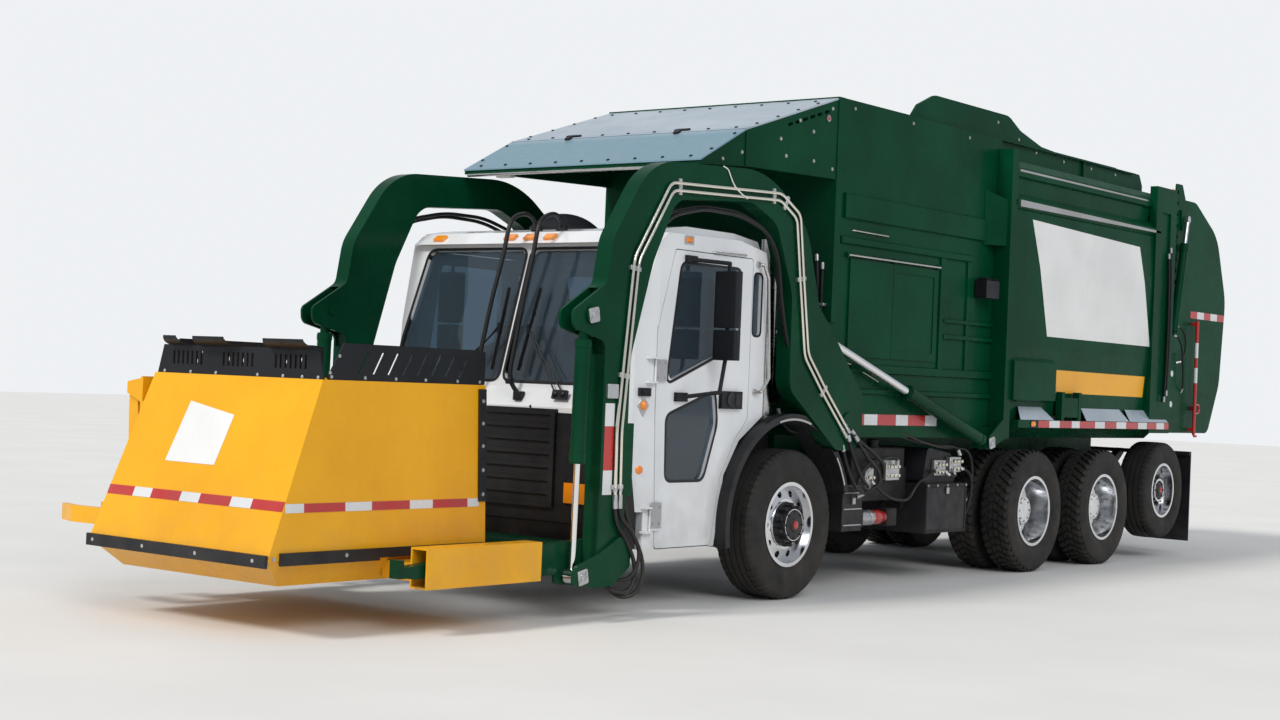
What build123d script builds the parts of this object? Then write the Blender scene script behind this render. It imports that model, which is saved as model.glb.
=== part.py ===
from build123d import *
from math import atan2, cos, hypot, radians, sin
import os

os.makedirs("parts", exist_ok=True)

# A front-loading refuse truck with a carry can on its forks. Sizes are in millimetres.
# Modelled with the front axle at Y = 0, the front facing -Y, the ground at Z = 0 and the
# centreline at X = 0. At the end everything is moved along Y so that the origin is under
# the middle of the overall length.

# Clearances
PIN_GAP = 0.4
TOUCH = 0.3
SIDE_GAP = 6
PANEL_GAP = 6
SLIDE_FIT = 0.5

# Wheels: axle places along Y, hub heights and sizes
FRONT_TYRE_R = 528
FRONT_TYRE_W = 310
DRIVE_TYRE_R = 522
DRIVE_TYRE_W = 276
TAG_TYRE_R = 462
TAG_TYRE_W = 300
DRIVE_1_Y = 3743
TANDEM_SPREAD = 1373
DRIVE_2_Y = DRIVE_1_Y + TANDEM_SPREAD
TAG_Y = 6434
TAG_Z = 648
TRACK_OUTER = 1220
TWIN_SPACING = 330
RIM_R = 286
TAG_RIM_R = 248
RIM_FLANGE = 13
RIM_WALL = 12
BEAD_INSET = 32
DISC_HALF = 12
BOLT_RING = 6
HUB_R = 112
FRONT_DISH = 84
FRONT_HUB_END = 175
TAG_DISH = 10
HAND_HOLES = 10
KINGPIN_X = 880
KINGPIN_R = 42
KNUCKLE_EYE_R = 55
FRONT_STUB_R = 55
DRIVE_STUB_R = 60
TAG_STUB_R = 50
AXLE_TUBE_R = 70

# Chassis frame
RAIL_OUTER = 430
RAIL_FLANGE = 90
RAIL_WALL = 12
RAIL_TOP = 960
RAIL_BOTTOM = 700
RAIL_FRONT = -1560
RAIL_REAR = 6020
TOW_EYE_R = 25
TOW_EYE_X = 300
TOW_EYE_WALL = 60
ENGINE_REAR = -150

# Cab
CAB_HALF = 1120
CAB_WALL = 55
CAB_FRONT = -1850
CAB_NOSE = -1550
CAB_REAR = -275
CAB_BOTTOM = 405
BUMPER_TOP = 650
CAB_ROOF = 2470
SCREEN_LOW = (-1770, 1425)
SCREEN_HIGH = (-1500, 2400)
TUNNEL_HALF = 440
TUNNEL_TOP = 1205
TUNNEL_WALL = 40
DOOR_HINGE = (CAB_HALF + 8, -1510)
HINGE_PIN_R = 9
HINGE_EAR_R = 15
HINGE_LEAF = (1500, 1640)
LOW_HINGE_LEAF = (530, 670)
GLASS = 8
ROOF_CAP_TOP = 2530
DOME_X = -225
DOME_Y = -900
DOME_R = 250
DOME_H = 135
DOME_RIM = 30
GRAB_OUT = 48
GRAB_R = 12
GLASS_DEPTH = 32

# Front loader: pivots are (Y, Z)
ARM_PIVOT = (700, 1220)
ARM_INNER = 1100
ARM_OUTER = 1220
ARM_PLATE = 18
ARM_CYL_X = (ARM_INNER + ARM_OUTER) / 2
ARM_ROD_PIN = (335, 1885)
ARM_BASE_PIN = (2900, 1106)
ARM_BARREL_R = 51
ARM_BARREL_L = 1345
ARM_ROD_R = 32
ARM_ROD_L = 1422
ARM_CLEVIS_R = 388
ARM_BOSS_R = 112
ARM_BOSS_T = 14
TORQUE_TUBE_R = 85
FORK_PIVOT = (-1945, 400)
FORK_TOP_PIN = (-2290, 1887)
FORK_CRANK_PIN = (-2312, 285)
FORK_BARREL_R = 49
FORK_BARREL_L = 915
FORK_ROD_R = 20
FORK_ROD_L = 900
FORK_PIN_R = 44.5
CRANK_PLATE = 20
FORK_TUBE_R = 60
FORK_OUTER = 1095
FORK_T = 75
FORK_TIP = -3640
GLAND_RING = 4
EYE_HALF = 36
EYE_R = 58
EYE_PIN_R = 28

# Carry can and its side arm
CAN_FRONT_LOW = (-4420, 440)
CAN_FRONT_TOP = (-4030, 1430)
CAN_REAR = -2700
CAN_HALF_TOP = 740
CAN_HALF_LOW = 790
CAN_BOTTOM = 285
CAN_BEVEL = 110
CAN_WALL = 30
STRIP_T = 20
POCKET_OUTER = 1128
POCKET_WALL = 12
POCKET_GAP = 25
POCKET_FRONT = -3540
POCKET_REAR = -2560
POCKET_LOW = 265
POCKET_HIGH = 500
GUARD_TOP = 1640
GUARD_T = 12
GUARD_SLOTS = 7
GUARD_SLOT_STEP = 42
SIDE_SLOTS = 8
SIDE_SLOT_STEP = 118
CART_Y = -3960
SLIDE_Z = 1190
SLIDE_HALF = 60
SLIDE_OUT = -870
SLIDE_IN = 250
GUIDE_WALL = 14
LIFT_PIVOT = (-985, 1330)
LIFT_PIN_R = 20
LIFT_HALF = 40
GRIP_REACH = -1360

# Hopper and load body
HOPPER_HALF = 1070
HOPPER_FRONT = 600
HOPPER_REAR = 3090
HOPPER_TOP = 3640
BODY_WALL = 45
BODY_BOTTOM = 1140
BODY_HALF = 1215
BODY_TOP = 3480
BODY_REAR = 6450
RING_FRONT = 5990
RUNNER_IN = 930
RUNNER_T = 10
HUMP_X = 990
HUMP_T = 20
PACKER_HALF = 925
RIB_T = 22
HOPPER_RIBS = [
    # (Y from and to, Z from and to, slope of the edges)
    ((745, 3092), (2770, 2940), 16),
    ((710, 2700), (2580, 2622), 14),
    ((2270, 3092), (2065, 2090), 8),
    ((2270, 3092), (1935, 1965), 8),
    ((905, 3092), (1630, 1685), 10),
    ((905, 3092), (1470, 1500), 10),
]
HATCH_Y = (850, 2163)
HATCH_Z = (1742, 2470)
HATCH_SPLIT = 1475
HATCH_T = 14
RAIL_OUT = 13
DOOR_T = 30
DOOR_L = 2430
CANOPY_SLOTS = 6
CANOPY_SLOT_STEP = 98
CANOPY_SLOT_DROP = 62

# Tailgate: pivots are (Y, Z)
TAILGATE_HINGE = (6560, 3560)
TAILGATE_HALF = 1110
TAILGATE_REAR = 8050
TAILGATE_BOTTOM = 1200
TAILGATE_TOP = 3500
TAILGATE_WALL = 40
TAILGATE_BASE_PIN = (6590, 2050)
TAILGATE_ROD_PIN = (6860, 3300)
TAILGATE_CYL_X = 1170
TAILGATE_BARREL_R = 40
TAILGATE_BARREL_L = 1030
TAILGATE_ROD_R = 22
TAILGATE_ROD_L = 1040
GATE_EYE_HALF = 20
GATE_EYE_R = 42
GATE_PIN_R = 20
GATE_FRAME_T = 10
GATE_HOLES = 9

NODES = {}


def block(x, y, z):
    """A box from its low and high values along each axis."""
    size = (x[1] - x[0], y[1] - y[0], z[1] - z[0])
    middle = ((x[0] + x[1]) / 2, (y[0] + y[1]) / 2, (z[0] + z[1]) / 2)
    return Pos(*middle) * Box(*size)


def outline(points, radii=0):
    """A closed flat face through corner points, with one radius or a list of radii."""
    if radii == 0:
        return make_face(Polyline(*points, close=True))
    return make_face(FilletPolyline(*points, radius=radii, close=True))


def plate(points, x, radii=0):
    """A side-view outline in (Y, Z), extruded from x[0] to x[1]."""
    return extrude(Plane.YZ.offset(x[0]) * outline(points, radii), x[1] - x[0])


def floor_plan(points, z, radii=0):
    """A top-view outline in (X, Y), extruded from z[0] to z[1]."""
    return extrude(Plane.XY.offset(z[0]) * outline(points, radii), z[1] - z[0])


def section(points, y, radii=0):
    """A front-view outline in (X, Z), extruded from y[0] to y[1]."""
    return extrude(Plane.XZ.offset(-y[1]) * outline(points, radii), y[1] - y[0])


def inset(points, distance):
    """The corners of a polygon moved inside it, each edge by the same distance."""
    count = len(points)
    turn = sum(points[i - 1][0] * points[i][1] - points[i][0] * points[i - 1][1] for i in range(count))
    inward = distance if turn > 0 else -distance
    edges = []
    for (u1, v1), (u2, v2) in zip(points, points[1:] + points[:1]):
        length = hypot(u2 - u1, v2 - v1)
        du = (u2 - u1) / length
        dv = (v2 - v1) / length
        edges.append((u1 - dv * inward, v1 + du * inward, du, dv))
    moved = []
    for (u1, v1, a1, b1), (u2, v2, a2, b2) in zip(edges[-1:] + edges[:-1], edges):
        step = ((u2 - u1) * b2 - (v2 - v1) * a2) / (a1 * b2 - b1 * a2)
        moved.append((u1 + a1 * step, v1 + b1 * step))
    return moved


def mirrored(points):
    """The points of one side followed by their mirror images in reverse order."""
    return points + [(-u, v) for u, v in reversed(points)]


def bar(start, end, radius):
    """A round bar between two points."""
    axis = Vector(*end) - Vector(*start)
    place = Plane(origin=start, z_dir=axis)
    return place * Cylinder(radius, axis.length, align=(Align.CENTER, Align.CENTER, Align.MIN))


def rod_through(points, radius):
    """Round bars through several points, with a ball at each bend."""
    rod = bar(points[0], points[1], radius)
    for start, end in zip(points[1:], points[2:]):
        rod += Pos(*start) * Sphere(radius)
        rod += bar(start, end, radius)
    return rod


def across(pivot, radius, x):
    """A round piece along X at a (Y, Z) pivot."""
    return bar((x[0], *pivot), (x[1], *pivot), radius)


def along(start, end, distance):
    """The (Y, Z) point at a distance from start towards end."""
    length = hypot(end[0] - start[0], end[1] - start[1])
    return tuple(s + (e - s) * distance / length for s, e in zip(start, end))


def other_side(shape):
    """The mirror image on the right side."""
    return mirror(shape, about=Plane.YZ)


def group(*shapes):
    """Several solids that share a node without touching."""
    solids = []
    for shape in shapes:
        solids += shape.solids()
    return Compound(children=solids)


def both(shape):
    """A piece and its mirror image, which don't touch."""
    return group(shape, other_side(shape))


def save(name, shape):
    NODES[name] = shape


# Wheels

def tyre(radius, width, seat):
    """A tyre about the X axis, its middle at X = 0."""
    half = width / 2
    bead = half - BEAD_INSET
    shoulder = [(half, seat + (radius - seat) * 0.42), (half - 6, radius - 55), (half - 34, radius)]
    side = [(bead, seat + TOUCH), (bead, seat + RIM_FLANGE + 2)] + shoulder
    return revolve(Plane.XZ * outline(mirrored(side)), Axis.X, 360)


def rim(width, seat, face, edge, hub_end, stub_r, stub_end):
    """A rim barrel with flanges, a dished disc with hand holes, its bolt ring and its bored hub.

    Places are along X from the rim's middle: face is the middle of the disc, edge is where
    the disc meets the barrel, hub_end is the outer end of the hub, and stub_end is how far the
    axle's stub reaches into it.
    """
    bead = width / 2 - BEAD_INSET + TOUCH
    lip = bead + RIM_FLANGE
    inside = seat - RIM_WALL
    disc_r = seat * 0.62
    barrel_side = [(lip, inside), (lip, seat + RIM_FLANGE), (bead, seat + RIM_FLANGE), (bead, seat)]
    barrel = revolve(Plane.XZ * outline(mirrored(barrel_side)), Axis.X, 360)
    disc = revolve(Plane.XZ * outline([
        (face - DISC_HALF, 0), (face + DISC_HALF, 0), (face + DISC_HALF, disc_r),
        (edge + DISC_HALF, inside + 2), (edge - DISC_HALF, inside + 2), (face - DISC_HALF, disc_r),
    ]), Axis.X, 360)
    hole_r = seat * 0.77
    for count in range(HAND_HOLES):
        angle = radians(360 / HAND_HOLES * count)
        spot = (hole_r * cos(angle), hole_r * sin(angle))
        disc -= across(spot, seat * 0.085, (min(face, edge) - 40, max(face, edge) + 40))
    ring_half = DISC_HALF + BOLT_RING
    wheel = barrel + disc + across((0, 0), disc_r - 15, (face - ring_half, face + ring_half))
    wheel += across((0, 0), HUB_R, sorted((face, hub_end)))
    return wheel - across((0, 0), stub_r + PIN_GAP, (-width, stub_end + TOUCH))


def save_wheel(name, y, z, tyres, rims):
    """The left wheel's tyre and rim nodes, and their mirror images."""
    place = Pos(0, y, z)
    for side, turn in (("left", lambda shape: shape), ("right", other_side)):
        save(f"{name}_{'tyres' if len(tyres) > 1 else 'tyre'}_{side}", turn(place * group(*tyres)))
        save(f"{name}_{'rims' if len(tyres) > 1 else 'rim'}_{side}", turn(place * rims))


front_middle = TRACK_OUTER - FRONT_TYRE_W / 2
front_tyre = Pos(front_middle) * tyre(FRONT_TYRE_R, FRONT_TYRE_W, RIM_R)
front_stub = FRONT_DISH + 50
front_rim = Pos(front_middle) * rim(FRONT_TYRE_W, RIM_R, FRONT_DISH, FRONT_DISH - 24, FRONT_HUB_END, FRONT_STUB_R, front_stub)
save_wheel("front", 0, FRONT_TYRE_R, [front_tyre], front_rim)

tag_middle = TRACK_OUTER - TAG_TYRE_W / 2
tag_tyre = Pos(tag_middle) * tyre(TAG_TYRE_R, TAG_TYRE_W, TAG_RIM_R)
tag_stub = TAG_DISH + 50
tag_rim = Pos(tag_middle) * rim(TAG_TYRE_W, TAG_RIM_R, TAG_DISH, TAG_DISH - 10, TAG_DISH + 85, TAG_STUB_R, tag_stub)
save_wheel("tag", TAG_Y, TAG_Z, [tag_tyre], tag_rim)

drive_outer = TRACK_OUTER - DRIVE_TYRE_W / 2
drive_inner = drive_outer - TWIN_SPACING
drive_tyre = tyre(DRIVE_TYRE_R, DRIVE_TYRE_W, RIM_R)
twin_dish = TWIN_SPACING / 2 - DISC_HALF
twin_edge = twin_dish - 58
drive_stub = -60
drive_rims = Pos(drive_outer) * rim(DRIVE_TYRE_W, RIM_R, -twin_dish, -twin_edge, 30, DRIVE_STUB_R, drive_stub)
drive_rims += Pos(drive_inner) * rim(DRIVE_TYRE_W, RIM_R, twin_dish, twin_edge, twin_dish + 10, DRIVE_STUB_R,
                                     TWIN_SPACING + drive_stub)
for name, y in (("drive_one", DRIVE_1_Y), ("drive_two", DRIVE_2_Y)):
    save_wheel(name, y, DRIVE_TYRE_R, [Pos(drive_outer) * drive_tyre, Pos(drive_inner) * drive_tyre], drive_rims)


# Steering knuckles, axles and springs

hub_z = FRONT_TYRE_R
drum_end = front_middle + FRONT_DISH - DISC_HALF - BOLT_RING - 31
knuckle = bar((KINGPIN_X, 0, hub_z - 190), (KINGPIN_X, 0, hub_z + 130), KINGPIN_R)
knuckle += across((0, hub_z), FRONT_STUB_R, (KINGPIN_X, front_middle + front_stub))
knuckle += across((0, hub_z), 205, (KINGPIN_X + 60, drum_end))
knuckle += block((KINGPIN_X - 90, KINGPIN_X + 10), (-20, 230), (hub_z - 190, hub_z - 155))
save("knuckle_left", knuckle)
save("knuckle_right", other_side(knuckle))

beam_low = hub_z - 120
beam_eye = bar((KINGPIN_X, 0, beam_low - 8), (KINGPIN_X, 0, beam_low + 54), KNUCKLE_EYE_R)
beam = section(mirrored([(600, beam_low - 30), (KINGPIN_X - 20, beam_low - 8), (KINGPIN_X - 20, beam_low + 54),
                         (600, beam_low + 70)]), (-KNUCKLE_EYE_R, KNUCKLE_EYE_R))
kingpin_bore = bar((KINGPIN_X, 0, beam_low - 50), (KINGPIN_X, 0, beam_low + 90), KINGPIN_R + PIN_GAP)
for piece, hole in ((beam_eye, kingpin_bore), (other_side(beam_eye), other_side(kingpin_bore))):
    beam += piece
    beam -= hole
SPRING = (RAIL_OUTER - 85, RAIL_OUTER)
leaf_half = [(780, RAIL_BOTTOM - 30), (300, 575), (-300, 575), (-780, RAIL_BOTTOM - 30)]
leaf = plate(leaf_half + [(-760, RAIL_BOTTOM - 75), (-300, 520), (300, 520), (760, RAIL_BOTTOM - 75)], SPRING)
leaf += block(SPRING, (-90, 90), (beam_low + 60, 530))
for y in (-760, 760):
    leaf += block(SPRING, (y - 45, y + 45), (RAIL_BOTTOM - 70, RAIL_BOTTOM - TOUCH))
save("front_axle", beam + leaf + other_side(leaf))

flange_y = ENGINE_REAR + TOUCH
drive_axles = bar((0, flange_y, 700), (0, flange_y + 40, 700), 80)
drive_axles += bar((0, flange_y + 20, 700), (0, DRIVE_1_Y - 150, 545), 55)
drive_axles += bar((0, DRIVE_1_Y + 150, 540), (0, DRIVE_2_Y - 150, 540), 50)
tandem_y = (DRIVE_1_Y + DRIVE_2_Y) / 2
for y in (DRIVE_1_Y, DRIVE_2_Y):
    drive_axles += across((y, DRIVE_TYRE_R), AXLE_TUBE_R, (-740, 740))
    housing = outline(mirrored([(360, 0), (300, 90), (190, 150), (120, 205)]))
    drive_axles += Pos(0, y, DRIVE_TYRE_R) * revolve(Plane.XZ * housing, Axis.X, 360)
    drum = across((y, DRIVE_TYRE_R), 190, (drive_inner - 52, drive_inner + twin_dish - 40))
    drum += across((y, DRIVE_TYRE_R), DRIVE_STUB_R, (drive_inner, drive_outer + drive_stub))
    drive_axles += drum
    drive_axles += other_side(drum)
walking_beam = plate([(DRIVE_1_Y - 110, 440), (DRIVE_2_Y + 110, 440), (DRIVE_2_Y + 110, 560), (DRIVE_2_Y - 400, 690),
                      (DRIVE_1_Y + 400, 690), (DRIVE_1_Y - 110, 560)], (RAIL_OUTER - 90, RAIL_OUTER - 5), 40)
walking_beam += block((RAIL_OUTER - 88, RAIL_OUTER - 8), (tandem_y - 160, tandem_y + 160), (680, RAIL_BOTTOM - TOUCH))
drive_axles += walking_beam
drive_axles += other_side(walking_beam)

tag_axle = across((TAG_Y, TAG_Z), 65, (-TRACK_OUTER + TAG_TYRE_W + 20, TRACK_OUTER - TAG_TYRE_W - 20))
tag_axle += across((TAG_Y, TAG_Z), TAG_STUB_R, (-tag_middle - tag_stub, tag_middle + tag_stub))
tag_arm_x = (RAIL_OUTER + TOUCH, RAIL_OUTER + 80)
tag_arm = plate([(5760, 720), (6380, 560), (6540, 580), (6560, 720), (5990, 900), (5760, 900)], tag_arm_x, 20)
tag_arm += plate([(6400, 640), (6560, 640), (7046, 970), (7046, 1030), (6400, 720)], tag_arm_x, 15)
FLAP_BAR = (7018, 1000)
tag_axle += tag_arm
tag_axle += other_side(tag_arm)
tag_axle += across(FLAP_BAR, 20, (-TRACK_OUTER, TRACK_OUTER))
save("rear_axles", group(drive_axles, tag_axle))


# Chassis frame, engine and what hangs beside it

rail = section([(RAIL_OUTER, RAIL_BOTTOM), (RAIL_OUTER, RAIL_TOP), (RAIL_OUTER - RAIL_FLANGE, RAIL_TOP),
                (RAIL_OUTER - RAIL_FLANGE, RAIL_TOP - RAIL_WALL), (RAIL_OUTER - RAIL_WALL, RAIL_TOP - RAIL_WALL),
                (RAIL_OUTER - RAIL_WALL, RAIL_BOTTOM + RAIL_WALL), (RAIL_OUTER - RAIL_FLANGE, RAIL_BOTTOM + RAIL_WALL),
                (RAIL_OUTER - RAIL_FLANGE, RAIL_BOTTOM)], (RAIL_FRONT, RAIL_REAR))
frame = rail + other_side(rail)
web = RAIL_OUTER - RAIL_WALL + 1
for y in (-1400, 900, 1900, 2900, 4430, RAIL_REAR - 70):
    frame += block((-web, web), (y - 35, y + 35), (RAIL_BOTTOM + 60, RAIL_TOP - 60))
bumper_z = (CAB_BOTTOM + 5, BUMPER_TOP - PANEL_GAP)
bumper = floor_plan(mirrored([(940, CAB_FRONT + 5), (1050, -1650), (1070, CAB_NOSE - 20)]), bumper_z, 15)
bumper -= block((-860, 860), (CAB_FRONT + 70, CAB_NOSE), (bumper_z[0] - 1, bumper_z[1] - 44))
frame += bumper
TOW_EYE = (CAB_FRONT + 85, 375)
for sign in (1, -1):
    horn_x = sorted((sign * (RAIL_OUTER - RAIL_FLANGE), sign * RAIL_OUTER))
    frame += block(horn_x, (-1700, RAIL_FRONT + 10), (bumper_z[1] - 44, RAIL_TOP))
    tow_x = sorted((sign * TOW_EYE_X, sign * (TOW_EYE_X + TOW_EYE_WALL)))
    tow = plate([(CAB_FRONT + 30, 320), (CAB_FRONT + 150, 320), (CAB_FRONT + 290, 440), (CAB_FRONT + 30, 440)], tow_x, 20)
    frame += tow - across(TOW_EYE, TOW_EYE_R, (tow_x[0] - 10, tow_x[1] + 10))
pivot_foot = plate([(ARM_PIVOT[0] - 140, RAIL_TOP - 5), (ARM_PIVOT[0] + 140, RAIL_TOP - 5), (ARM_PIVOT[0] + 115, ARM_PIVOT[1]),
                    (ARM_PIVOT[0] - 115, ARM_PIVOT[1])], (RAIL_OUTER - 80, RAIL_OUTER - 10))
pivot_foot += across(ARM_PIVOT, TORQUE_TUBE_R + 35, (RAIL_OUTER - 80, RAIL_OUTER - 10))
pivot_foot -= across(ARM_PIVOT, TORQUE_TUBE_R + PIN_GAP, (RAIL_OUTER - 90, RAIL_OUTER))
frame += pivot_foot
frame += other_side(pivot_foot)
save("chassis_frame", frame)

engine = block((-330, 330), (-1250, ENGINE_REAR), (560, 1190))
mount_half = RAIL_OUTER - RAIL_WALL - TOUCH
engine += block((-mount_half, mount_half), (-900, -800), (760, 820))
save("engine_block", engine)

side_x = RAIL_OUTER + TOUCH
step_box = block((870, 1105), (835, 1110), (440, 770)) + block((side_x, 900), (900, 1040), (700, 740))
tank = block((side_x, 1105), (2060, 2720), (380, 775))
tank += plate([(2100, 770), (2640, 770), (2560, 1010), (2180, 1060)], (640, 1040), 40)
save("side_boxes", group(both(step_box), both(tank)))

STACK = (890, 70)
STACK_R = 62
STACK_TOP = 2545
foot_x = RAIL_OUTER - 40
save("exhaust_stack", rod_through([(*STACK, STACK_TOP), (*STACK, 1220), (foot_x, STACK[1], 1120),
                                   (foot_x, STACK[1], RAIL_TOP + TOUCH)], STACK_R))


# Cab

CAB_SIDE = [(CAB_NOSE, CAB_BOTTOM), (CAB_NOSE, BUMPER_TOP), (CAB_FRONT, BUMPER_TOP), (CAB_FRONT, 1300), SCREEN_LOW,
            SCREEN_HIGH, (-1420, CAB_ROOF), (-620, CAB_ROOF + 10), (CAB_REAR - 20, 2420), (CAB_REAR, 2300),
            (CAB_REAR, 1285), (-545, 1115), (-710, 880), (-795, CAB_BOTTOM)]
CAB_PLAN = mirrored([(905, CAB_FRONT), (1060, -1650), (CAB_HALF, -1490), (CAB_HALF, CAB_REAR)])
DOOR_LINE = [(-1343, 2370), (-1500, 1840), (-1496, 1278), (-1452, CAB_BOTTOM + 2), (-835, CAB_BOTTOM + 2),
             (-745, 870), (-590, 1120), (-452, 1265), (-452, 2370)]
UPPER_WINDOW = [(-1262, 2277), (-1376, 1494), (-842, 1690), (-600, 1760), (-600, 2277)]
LOWER_WINDOW = [(-1368, 1272), (-850, 1439), (-815, 1228), (-952, 857), (-1352, 857)]
REAR_WINDOW = [(-430, 2263), (-345, 2263), (-345, 1845), (-430, 1845)]
BACK_WINDOW = mirrored([(700, 1700), (700, 2250)])


def cab_block(gap):
    """The cab's outer form, or with a gap the space inside its walls."""
    wide = plate(inset(CAB_SIDE, gap), (-CAB_HALF - 1, CAB_HALF + 1))
    tall = floor_plan(inset(CAB_PLAN, gap), (CAB_BOTTOM - 10, CAB_ROOF + 60))
    return wide & tall


screen_lean = Plane(origin=(0, *SCREEN_LOW), x_dir=(1, 0, 0),
                    z_dir=(0, -(SCREEN_HIGH[1] - SCREEN_LOW[1]), SCREEN_HIGH[0] - SCREEN_LOW[0]))
screen_height = hypot(SCREEN_HIGH[0] - SCREEN_LOW[0], SCREEN_HIGH[1] - SCREEN_LOW[1])


def screen_pane(side, grow, depth, back):
    """One side's windscreen opening or pane on the leaning front wall, side is +1 or -1."""
    low = 45 - grow
    high = screen_height - 45 + grow
    corners = [(28 - grow, low), (985 + grow, low), (1005 + grow, 300), (940 + grow, high), (28 - grow, high)]
    pane = outline([(side * u, v) for u, v in corners], 60)
    return extrude(screen_lean.offset(-back) * pane, depth)


outer_form = cab_block(0)
inner_form = cab_block(CAB_WALL)
wall_x = (CAB_HALF - CAB_WALL - 5, CAB_HALF + 10)
tunnel = block((-TUNNEL_HALF - TUNNEL_WALL, TUNNEL_HALF + TUNNEL_WALL), (CAB_FRONT + 10, CAB_REAR),
               (CAB_BOTTOM, TUNNEL_TOP + TUNNEL_WALL))
cab = outer_form - inner_form + (tunnel & outer_form)
cab -= block((-TUNNEL_HALF, TUNNEL_HALF), (CAB_FRONT + CAB_WALL, CAB_REAR + 10), (CAB_BOTTOM - 50, TUNNEL_TOP))
door_cut = plate(DOOR_LINE, wall_x, 25)
side_cut = plate(REAR_WINDOW, wall_x, 18)
for cut in (door_cut, other_side(door_cut), side_cut, other_side(side_cut)):
    cab -= cut
for side in (1, -1):
    cab -= screen_pane(side, 0, 200, 120)
cab -= section(BACK_WINDOW, (CAB_REAR - CAB_WALL - 10, CAB_REAR + 10), 40)
roof_cap = plate([(-1560, 2400), (-1440, 2405), (-1400, CAB_ROOF - 12), (-640, CAB_ROOF - 8), (-410, 2420), (-380, 2385),
                  (-262, 2385), (-262, 2400), (-330, 2495), (-620, ROOF_CAP_TOP), (-1160, ROOF_CAP_TOP),
                  (-1300, ROOF_CAP_TOP - 18), (-1440, ROOF_CAP_TOP - 44)], (-1060, 1060))
cab += roof_cap - outer_form
door_hinge = []
for low, high in (HINGE_LEAF, LOW_HINGE_LEAF):
    door_hinge.append(bar((*DOOR_HINGE, low - 14), (*DOOR_HINGE, high + 14), HINGE_PIN_R)
                      + block((CAB_HALF + 1, DOOR_HINGE[0] + HINGE_PIN_R), (DOOR_HINGE[1], DOOR_HINGE[1] + 90), (low, high))
                      + block((CAB_HALF - 2, CAB_HALF + 5), (DOOR_HINGE[1] + 70, DOOR_HINGE[1] + 90), (low, high)))
    for z in ((low - 16, low - 2), (high + 2, high + 16)):
        ear = block((CAB_HALF - 30, DOOR_HINGE[0] + HINGE_EAR_R), (DOOR_HINGE[1] - 60, DOOR_HINGE[1]), z)
        ear += bar((*DOOR_HINGE, z[0]), (*DOOR_HINGE, z[1]), HINGE_EAR_R)
        ear -= bar((*DOOR_HINGE, z[0] - 5), (*DOOR_HINGE, z[1] + 5), HINGE_PIN_R + PIN_GAP)
        ear -= inner_form
        cab += ear
        cab += other_side(ear)
save("cab_shell", cab)

dome_base = ROOF_CAP_TOP + TOUCH
crown = DOME_H - DOME_RIM
ball_r = (DOME_R ** 2 + crown ** 2) / (2 * crown)
ball = Pos(DOME_X, DOME_Y, dome_base + DOME_H - ball_r) * Rot(90, 0, 0) * Sphere(ball_r)
save("roof_dome", bar((DOME_X, DOME_Y, dome_base), (DOME_X, DOME_Y, dome_base + DOME_H), DOME_R) & ball)

rail_x = CAB_HALF + GRAB_OUT
grab_rail = rod_through([(CAB_HALF + 6, -398, 2332), (rail_x, -385, 2326), (rail_x, -332, 2241), (rail_x, -283, 1549),
                         (rail_x, -372, 1455), (CAB_HALF + 6, -385, 1449)], GRAB_R)
for foot_y, foot_z in ((-398, 2332), (-385, 1449)):
    grab_rail += bar((CAB_HALF + TOUCH, foot_y, foot_z), (CAB_HALF + 11, foot_y, foot_z), GRAB_R * 2)
save("grab_rails", both(grab_rail))

door_panel = plate(inset(DOOR_LINE, PANEL_GAP), (CAB_HALF - CAB_WALL, CAB_HALF), 25)
for window in (UPPER_WINDOW, LOWER_WINDOW):
    door_panel -= plate(window, wall_x, 40)
for leaf in door_hinge:
    door_panel += leaf
pane_x = (CAB_HALF - GLASS_DEPTH, CAB_HALF - GLASS_DEPTH + GLASS)
door_glass = group(*[plate(inset(window, TOUCH), pane_x, 40) for window in (UPPER_WINDOW, LOWER_WINDOW)])

MIRROR_X = (CAB_HALF + 58, CAB_HALF + 255)
arm_x = CAB_HALF + 150
foot = CAB_HALF + TOUCH
fittings = block((foot, foot + 25), (-1300, -1180), (1370, 1430)) + block((foot, foot + 25), (-1240, -1130), (2290, 2335))
fittings += rod_through([(foot + 15, -1230, 1400), (arm_x, -1000, 1440), (arm_x, -940, 1700), (arm_x, -940, 2300),
                         (foot + 15, -1180, 2310)], 14)
mirror_plan = [(MIRROR_X[0], -985), (MIRROR_X[1], -985), (MIRROR_X[1], -925), (MIRROR_X[0] + 60, -885), (MIRROR_X[0], -885)]
for mirror_z in ((1870, 2245), (1655, 1855)):
    fittings += floor_plan(mirror_plan, mirror_z, 22)
handle = block((foot, foot + 28), (-800, -560), (1330, 1450))
door_fittings = group(fittings, handle)
for side, turn in (("left", lambda shape: shape), ("right", other_side)):
    save(f"door_{side}", turn(door_panel))
    save(f"door_glass_{side}", turn(door_glass))
    save(f"door_fittings_{side}", turn(door_fittings))

side_pane = plate(inset(REAR_WINDOW, TOUCH), pane_x, 18)
back_pane = section(inset(BACK_WINDOW, TOUCH), (CAB_REAR - GLASS_DEPTH, CAB_REAR - GLASS_DEPTH + GLASS), 40)
save("cab_glass", group(screen_pane(1, -TOUCH, GLASS, GLASS_DEPTH), screen_pane(-1, -TOUCH, GLASS, GLASS_DEPTH),
                        both(side_pane), back_pane))

grille_y = (CAB_FRONT - 30, CAB_FRONT - TOUCH)
grille = block((-600, 600), grille_y, (650, 1290))
for count in range(7):
    low = 675 + count * 86
    grille -= block((-560, 560), (grille_y[0] - 10, grille_y[0] + 16), (low, low + 60))
save("grille", grille)

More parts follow.
